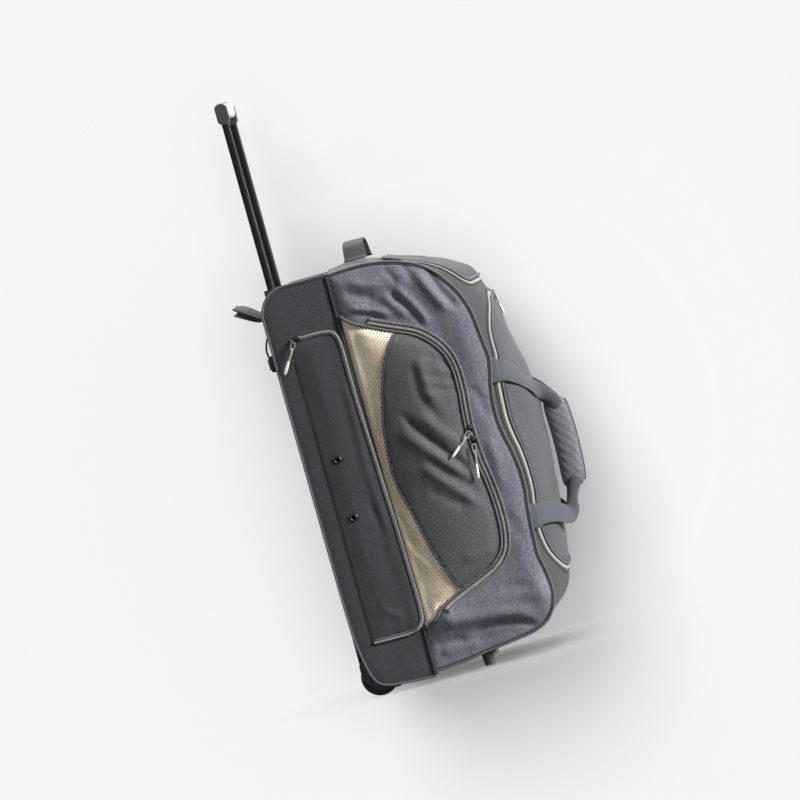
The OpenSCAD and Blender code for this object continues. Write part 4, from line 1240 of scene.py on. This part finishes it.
for tag, z, zz, turn, ln in (("upper", 398, 394, -49, 54), ("lower", 378, 372, -8, 60)):
    q = zip_point(z)
    x = -(HW + max(float(HM["left"](q[None])[0]), 3.2) + 1.2)
    slider(f"{tag}_slider", (x, q[0], z), (-1, 0, 0), (0, 0.03, 1), f"{tag}_zip", f"pocket_slider_{tag}")
    d = dir_of(turn) + (-0.16 if tag == "upper" else -0.05, 0, 0)
    pull(f"{tag}_pull", (-HW - 15.5, q[0] - 1, zz), d, (-1, 0, 0), ln, f"{tag}_tab", f"pocket_pull_{tag}")
q = zip_point(378)
x = HW + max(float(HM["right"](q[None])[0]), 3.2) + 1.2
slider("right_slider", (x, q[0], 378), (1, 0, 0), (0, 0.03, 1), "right_zip", "pocket_slider_right")
pull("right_pull", (HW + 15.5, q[0] - 1, 372), dir_of(-6), (1, 0, 0), 60, "right_tab", "pocket_pull_right")
slider("door_zip_slider", (-HW - 4.4, 46, 621), (-1, 0, 0), (0, 1, 0), "door_zip", "door_slider")
pull("door_zip_pull", (-HW - 9.6, 41, 617), dir_of(-31), (-1, 0, 0), 58, "door_tab", "door_pull")
lz, ln_ = on_band(np.array([[0.0, 607.4]]), 1.0)
slider("lid_zip_slider", lz[0], ln_[0], (1, 0, 0), "lid_zip", "lid_slider")
dn = np.array([0, ln_[0][2], -ln_[0][1]])
dn = dn if dn[2] < 0 else -dn
pull("lid_zip_pull", lz[0] + ln_[0] * 5.8, dn - ln_[0] * 0.12, ln_[0], 44, "lid_tab", "lid_pull")

# --------------------------------------------------------- carrying straps


def strap(name, pts, wid, body, nodes, s, mat=C_WEB, bl=None):
    """pts: x, t, z, and the direction of the band's width as t, z parts."""
    A = dense(np.array(pts, float), per=10)
    L = np.r_[0, np.cumsum(np.linalg.norm(np.diff(A[:, :3], axis=0), axis=1))]
    n = int(L[-1] / 3.0)
    q = np.linspace(0, L[-1], n)
    A = np.stack([np.interp(q, L, A[:, k]) for k in range(A.shape[1])], 1)
    P = A[:, :3] * (s, 1, 1)
    Wd = A[:, 3:6] * (s, 1, 1)
    T = np.gradient(P, axis=0)
    T /= np.linalg.norm(T, axis=1)[:, None]
    Wd -= T * np.sum(T * Wd, 1)[:, None]
    Wd /= np.linalg.norm(Wd, axis=1)[:, None]
    Nn = np.cross(Wd, T)
    flip = np.sign(np.sum(Nn * (P - (0, 200, 360)), 1).mean())
    Nn = Nn * flip
    w = np.interp(q / L[-1], [0, 1], wid) * (A[:, 7] if A.shape[1] > 7 else 1)
    curl = A[:, 6]
    V, F, wv = [], [], []
    m_ = 8
    for i in range(n):
        for face in (1, -1):
            for j in range(m_ + 1):
                a = -1 + 2 * j / m_
                up = curl[i] * (1 - a * a) + face * 0.95 * (1 - 0.5 * abs(a) ** 10)
                V.append(P[i] + Wd[i] * a * w[i] / 2 + Nn[i] * up)
                wv.append((q[i], a * w[i] / 2))
    k = 2 * (m_ + 1)
    for i in range(n - 1):
        for j in range(m_):
            a, b = i * k + j, (i + 1) * k + j
            F.append((a, a + 1, b + 1, b))
            F.append((a + m_ + 1, b + m_ + 1, b + m_ + 2, a + m_ + 2))
        F.append((i * k, (i + 1) * k, (i + 1) * k + m_ + 1, i * k + m_ + 1))
        F.append((i * k + m_, i * k + k - 1, (i + 1) * k + k - 1, (i + 1) * k + m_))
    for i in (0, n - 1):
        for j in range(m_):
            F.append((i * k + j, i * k + j + 1, i * k + m_ + 2 + j, i * k + m_ + 1 + j))
    o = obj(name, np.array(V), F, mat, None if bl else body, wv=np.array(wv))
    recalc(o)
    if bl:
        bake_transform(o)
    if nodes:
        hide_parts(*nodes)
    return o


UP = [(171.6, 338, 481, 0, 0, 1, 0, 1), (169.5, 346, 481, 0, 0, 1, 0, 1), (161, 356, 480, 0, 0, 1, 0.4, 1), (146, 367, 477, -.1, 0, 1, .8, 1),
      (124, 378, 469, -.2, 0, 1, 1, 1), (98, 388.5, 458, -.4, 0, .9, 1, 1), (72, 397.5, 446, -.65, 0, .75, 1, 1),
      (52, 403.5, 436, -.85, .1, .5, 1.2, 1), (37, 409, 428, -.9, .4, .3, 1.6, .95), (25, 415, 420, -.6, .8, .2, 2.6, .85), (16, 422.5, 410, -.2, 1, .1, 4, .85),
      (10, 428.5, 399, 0, 1, 0, 5, .95), (7, 432, 386, 0, 1, 0, 5.5, 1)]
LO = [(171.6, 338, 226, 0, 0, 1, 0, 1), (169.5, 346, 226, 0, 0, 1, 0, 1), (161, 356, 226, 0, 0, 1, 0.4, 1), (146, 367, 226, 0, 0, 1, .8, 1),
      (122, 378, 224, 0, 0, 1, 1, 1), (96, 388, 220, 0, 0, 1, 1.2, 1), (70, 397, 214, 0, 0, 1, 1.2, 1),
      (48, 403.5, 209, 0, -.05, 1, 1.2, 1), (30, 408.5, 208, 0, -.25, 1, 1.4, .96), (20, 412.5, 214, 0, -.75, .8, 2.0, .8), (15, 416, 226, 0, -1, .5, 3.0, .6),
      (12, 420.5, 240, 0, -1, .15, 4.0, .62), (9, 426, 254, 0, -1, 0, 5.0, .8), (7, 430, 268, 0, -1, 0, 5.5, .9)]
for nm, s in SIDES.items():
    bl = ("root", f"loop_{nm}", W((s * 163, 353, 350)), W((s * 142, 369, 350)))
    if s > 0:
        bl = ("root", f"loop_{nm}", W((s * 168, 346, 350)), W((s * 156, 358, 350)))
    strap(f"strap_upper_{nm}", UP, (39, 30), f"loop_{nm}", [f"carry_strap_{nm}"], s, bl=bl)
    strap(f"strap_lower_{nm}", LO, (39, 30), f"loop_{nm}", [], s, bl=bl)
    for tag, zc in (("upper", 481), ("lower", 226)):
        pts = [(172.4, 331, zc, 0, 0, 1, 0), (171.6, 341, zc, 0, 0, 1, 0), (168.4, 350, zc, 0, 0, 1, 0), (162, 358.5, zc, 0, 0, 1, 0)]
        o = strap(f"strap_tack_{tag}_{nm}", pts, (42, 42), "root", ["strap_patches"] if s < 0 and tag == "upper" else [], s, mat=C_WEB)
        xs, ts = [p[0] + 1.2 for p in pts], [p[1] + 0.8 for p in pts]
        for i, (fa, fb) in enumerate((((0.1, -17), (0.1, 17)), ((0.9, -17), (0.9, 17)), ((0.1, -17), (0.9, 17)), ((0.1, 17), (0.9, -17)))):
            q = np.linspace(0, 1, 14)
            f = fa[0] + (fb[0] - fa[0]) * q
            P = np.stack([s * np.interp(f * 3, range(4), xs), np.interp(f * 3, range(4), ts), zc + fa[1] + (fb[1] - fa[1]) * q], 1)
            chips(f"tack_stitch_{tag}_{nm}_{i}", P, (s * 0.8, 0.6, 0), (2.2, 0.6, 0.4), C_THREAD, "root", 3.0)

# --------------------------------------------------------------- carry wrap

for nm, s in SIDES.items():
    nz, na = ((60, 26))
    V, F, wv = [], [], []
    for i in range(nz + 1):
        f = i / nz
        z = 251 + 153 * f
        c = 429.5 + 3.2 * math.sin(math.pi * min(1, f * 1.05)) + 3.0 * (f - 0.5)
        e = max(0.0, 1 - abs(2 * f - 1) ** 7) ** 0.42
        e = 0.16 + 0.84 * e
        for j in range(na + 1):
            a = -math.pi / 2 + math.pi * j / na
            q = 1 + 0.035 * math.sin(i * 0.9 + j) * (0.3 + abs(math.sin(a)))
            x = 0.35 + 13.6 * e * max(0.0, math.cos(a)) ** 0.62 * q
            t = c + 21.0 * (0.55 + 0.45 * e) * math.copysign(abs(math.sin(a)) ** 0.92, math.sin(a))
            # the sewn edge is pinched on the outer side
            if abs(math.sin(a)) > 0.86:
                x -= (abs(math.sin(a)) - 0.86) / 0.14 * 2.0 * e
            V.append((s * max(0.3, x), t, z + 1.2 * math.sin(a * 2) * (2 * f - 1)))
            wv.append((j * 2.4, z))
    k = na + 1
    for i in range(nz):
        for j in range(na):
            F.append((i * k + j, i * k + j + 1, (i + 1) * k + j + 1, (i + 1) * k + j))
        F.append((i * k, (i + 1) * k, (i + 1) * k + na, i * k + na))
    F.append(tuple(range(k)))
    F.append(tuple(nz * k + j for j in range(k)))
    o = recalc(obj(f"carry_wrap_{nm}", np.array(V), F, C_PAD, f"loop_{nm}", wv=np.array(wv)))
    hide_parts(f"carry_pad_{nm}")
    V = np.array(V).reshape(nz + 1, k, 3)
    j = int(na * 0.86)
    L = V[3:-3, j]
    chips(f"wrap_stitch_{nm}", L + (s * 0.35, 0.3, 0), (s, 0.5, 0), (2.6, 0.7, 0.5), C_THREAD_DARK, f"loop_{nm}", 4.2)
    e_ = V[2:-2, -1]
    sweep(f"wrap_edge_{nm}", e_ + (s * 1.2, 0.2, 0), (0, 1, 0), circle(1.5, 8), C_BIND, f"loop_{nm}")

# --------------------------------------------------------------- grab handle

pts = [(-112, 722, 0.0), (-96, 722.4, 0.0), (-86, 725, 0.2), (-78, 733, 0.5), (-66, 744, 1.0), (-46, 750.5, 1.4), (-20, 753, 1.6), (0, 753.6, 1.6)]
pts += [(-a, b, c) for a, b, c in pts[-2::-1]]
A = dense(np.array(pts), per=8)
P = np.stack([A[:, 0], np.full(len(A), 174.0), A[:, 1]], 1)
L = np.linspace(0, 1, len(A))
wid = 1 - 0.12 * np.sin(np.pi * L) ** 2
T = np.gradient(P, axis=0)
N_ = np.stack([-T[:, 2], 0 * T[:, 0], T[:, 0]], 1)
o = sweep("grab_web", P, N_, strip(40, 2.6, 1.0), C_WEB_DARK, "root", scale=np.stack([wid, np.ones(len(A))], 1))
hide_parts("grab_handle")
for sy in (-17.4, 17.4):
    chips(f"grab_stitch_{'a' if sy < 0 else 'b'}", P + N_ / (np.linalg.norm(N_, axis=1)[:, None]) * 2.6 + (0, sy * 0.93, 0), N_[0] * 0 + (0, 0, 1), (2.6, 0.6, 0.4), C_THREAD, "root", 4.0)
for sx in (-1, 1):
    for i, (a, b) in enumerate((((-15, -15), (15, 15)), ((-15, 15), (15, -15)))):
        q = np.linspace(0, 1, 8)
        P = np.stack([sx * (110 - (a[0] + (b[0] - a[0]) * q + 15) / 30 * 14), 174 + a[1] + (b[1] - a[1]) * q, np.full(8, 725.0)], 1)
        chips(f"grab_tack_{'l' if sx < 0 else 'r'}_{i}", P, (0, 0, 1), (2.4, 0.6, 0.5), C_THREAD, "root", 3.0)

# --------------------------------------------------------------- back cover


def curtain(name, run, half, th, mat, body, node=None, round_=18):
    """A flap swept from its root to its tip, with rounded corners at the tip."""
    A = spline(run, 3.0)
    n = len(A)
    L = np.r_[0, np.cumsum(np.hypot(*np.diff(A, axis=0).T))]
    V, F, wv = [], [], []
    m_ = 30
    for i in range(n):
        e = L[-1] - L[i]
        w = half - (round_ - math.sqrt(max(0, round_ ** 2 - max(0, round_ - e) ** 2)) if e < round_ else 0)
        for j in range(m_ + 1):
            a = -1 + 2 * j / m_
            V.append((a * w, A[i, 0] - 1.0 * math.sin(a * 5 + 1) * (i / n), A[i, 1] + 1.4 * math.cos(a * 4) * (i / n)))
            wv.append((a * w, L[i]))
    k = m_ + 1
    for i in range(n - 1):
        for j in range(m_):
            F.append((i * k + j, i * k + j + 1, (i + 1) * k + j + 1, (i + 1) * k + j))
    o = obj(name, np.array(V), F, mat, body, wv=np.array(wv))
    face_out(o, (0, 0.5, 1))
    thick(o, th, 0.0)
    if node:
        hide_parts(node)
    edge = [V[i * k] for i in range(n)] + [V[(n - 1) * k + j] for j in range(1, k)] + [V[i * k + m_] for i in range(n - 2, -1, -1)]
    sweep(name + "_bind", resample(edge, 3.0), (0, -0.3, 1), circle(1.9, 8), C_PIPE if mat is C_BASE else C_BIND, body)
    return o


curtain("cover_outer", [(-1.5, 661), (-10, 668), (-24, 679), (-38, 690), (-49, 697)], 112, 2.4, C_DARK, "cover", "cover_flap")
curtain("cover_inner", [(-9, 664.2), (-17, 667.0), (-27, 672.5), (-39, 680), (-50, 686)], 100, 2.0, C_BASE, "cover")
P = spline([(-1.6, 653), (-4.0, 645), (-10.5, 635), (-17, 622), (-19.5, 610), (-18.4, 600), (-16.0, 590)], 2.5)
P = np.stack([np.zeros(len(P)), P[:, 0], P[:, 1]], 1)
o = sweep("cover_web", P, (0, -1, 0), strip(24, 1.8), C_WEB_DARK, "root")
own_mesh(o)
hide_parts("cover_strap")
rings = []
for z, w, t0, t1 in ((573, 11, -10, -17), (575, 14, -8.6, -20), (582, 16, -7.4, -22.4), (590, 16.4, -7.2, -23), (597, 15.4, -7.8, -22), (601, 14, -10, -19.6)):
    c, h_, r_ = (t0 + t1) / 2, abs(t1 - t0) / 2, 3.2
    rings.append([(w * math.copysign(abs(math.cos(a)) ** 0.45, math.cos(a)), c + h_ * math.copysign(abs(math.sin(a)) ** 0.55, math.sin(a)), z)
                  for a in np.linspace(0, 2 * math.pi, 29)[:-1]])
V = np.array([q for ring in rings for q in ring])
F = [(i * 28 + j, i * 28 + (j + 1) % 28, (i + 1) * 28 + (j + 1) % 28, (i + 1) * 28 + j) for i in range(len(rings) - 1) for j in range(28)]
F += [tuple(range(28))[::-1], tuple((len(rings) - 1) * 28 + j for j in range(28))]
o = recalc(obj("cover_clip", V, F, C_BLACK, "root", wv=V[:, [0, 2]]))
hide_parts("cover_buckle")
for z in (579.5, 594.5):
    sweep(f"cover_clip_bar_{int(z)}", np.stack([np.linspace(-11, 11, 12), np.full(12, -22.4), np.full(12, z)], 1), (0, -1, 0), circle(1.1, 8), C_BLACK, "root")

# ------------------------------------------------------- back panel details

for sx in (-1, 1):
    P = np.stack([np.full(90, sx * 118.0), np.full(90, -0.9), np.linspace(80, 655, 90)], 1)
    sweep(f"back_seam_{'l' if sx < 0 else 'r'}", P, (0, -1, 0), circle(1.8, 8), C_PIPE, "root")
    chips(f"back_stitch_{'l' if sx < 0 else 'r'}", P + (sx * -6, -0.4, 0), (0, -1, 0), (2.4, 0.6, 0.4), C_THREAD_DARK, "root", 3.8)

# ---------------------------------------------------------- the world's light

world = bpy.data.worlds.new("studio")
scene.world = world
world.use_nodes = True
wt = world.node_tree
bg = wt.nodes["Background"]
bg.inputs[0].default_value = (0.95, 0.97, 1.0, 1)
bg.inputs[1].default_value = AMBIENT
lp = wt.nodes.new("ShaderNodeLightPath")
bg2 = wt.nodes.new("ShaderNodeBackground")
bg2.inputs[0].default_value = (*lin(245, 245, 245), 1)
bg2.inputs[1].default_value = 1.0
mx = wt.nodes.new("ShaderNodeMixShader")
wt.links.new(lp.outputs["Is Camera Ray"], mx.inputs[0])
wt.links.new(bg.outputs[0], mx.inputs[1])
wt.links.new(bg2.outputs[0], mx.inputs[2])
wt.links.new(mx.outputs[0], wt.nodes["World Output"].inputs[0])


def sun(name, travel, strength, spread, colour=(1, 1, 1)):
    """A soft distant light that shines along travel."""
    L = bpy.data.lights.new(name, "SUN")
    L.energy, L.angle, L.color = strength, math.radians(spread), colour
    o = bpy.data.objects.new(name, L)
    o.location = Vector(travel) * -3
    o.rotation_mode = "QUATERNION"
    o.rotation_quaternion = Vector(travel).to_track_quat("-Z", "Y")
    scene.collection.objects.link(o)
    return o


sun("right_key", (-R * 0.76 - U * 0.58 - back * 0.36).normalized(), 7.4, 20, (1, 0.99, 0.975))
sun("front", (1.0, -0.1, -0.35), 0.32, 45)
sun("far_side", (-1.0, 0.25, -0.6), 2.2, 35)
sun("back_side", (-0.15, -1.0, -0.5), 1.9, 35)
bag_lights = [o for o in scene.objects if o.type == "LIGHT"]
sun("shadow_key", (R * 0.33 - U * 0.36 - back).normalized(), 1.15, 25)
sun("shadow_fill", -back, 1.25, 30)
sun("stage_fill", -back, 0.38, 120)
sun("floor_fill", (0.02, 0, -1), 1.9, 60)
stage_lights = [o for o in scene.objects if o.type == "LIGHT" and o not in bag_lights]


def fade_plane(name, verts, albedo, r0, r1, one_sided, top=1.0):
    me = bpy.data.meshes.new(name)
    me.from_pydata(verts, [], [(0, 1, 2, 3)])
    o = bpy.data.objects.new(name, me)
    scene.collection.objects.link(o)
    M = Mat(name, (albedo,) * 3, 1.0, None, Specular_IOR_Level=0.0)
    tc = M.t.nodes.new("ShaderNodeTexCoord")
    ln = M.t.nodes.new("ShaderNodeVectorMath")
    ln.operation = "LENGTH"
    M.t.links.new(tc.outputs["Object"], ln.inputs[0])
    a = M.remap(ln.outputs["Value"], r0, r1, 1.0, 0.0)
    a = M.math("MULTIPLY", a, a)
    a = M.math("MULTIPLY", a, top)
    if one_sided:
        ge = M.t.nodes.new("ShaderNodeNewGeometry")
        a = M.math("MULTIPLY", a, M.math("SUBTRACT", 1.0, ge.outputs["Backfacing"]))
    ray = M.t.nodes.new("ShaderNodeLightPath")
    a = M.math("MULTIPLY", a, M.math("SUBTRACT", 1.0, ray.outputs["Is Shadow Ray"]))
    tr = M.t.nodes.new("ShaderNodeBsdfTransparent")
    ms = M.t.nodes.new("ShaderNodeMixShader")
    M.t.links.new(a, ms.inputs[0])
    M.t.links.new(tr.outputs[0], ms.inputs[1])
    M.t.links.new(M.b.outputs[0], ms.inputs[2])
    M.t.links.new(ms.outputs[0], M.t.nodes["Material Output"].inputs[0])
    me.materials.append(M.m)
    return o


f = fade_plane("floor", [(-3, -3, 0), (3, -3, 0), (3, 3, 0), (-3, 3, 0)], FLOOR, 0.05, 0.55, False, 0.6)
f.location = (0, 0, -0.0006)
g = fade_plane("backdrop", [(0, -2, -2), (0, -2, 2), (0, 2, 2), (0, 2, -2)], WALL, 0.45, 1.3, True)
g.location = (0.34, -0.05, 0.38)
if g.data.polygons[0].normal.x > 0:
    g.data.flip_normals()

# The stage has lights of its own, so that its shadow can be as soft and as faint as it needs.
only = bpy.data.collections.new("stage_only")
never = bpy.data.collections.new("not_stage")
for c, state in ((only, "INCLUDE"), (never, "EXCLUDE")):
    for o in (f, g):
        c.objects.link(o)
    for co in c.collection_objects:
        co.light_linking.link_state = state
for o in stage_lights:
    o.light_linking.receiver_collection = only
for o in bag_lights:
    o.light_linking.receiver_collection = never

scene.view_settings.view_transform = "Standard"
scene.view_settings.look = "None"
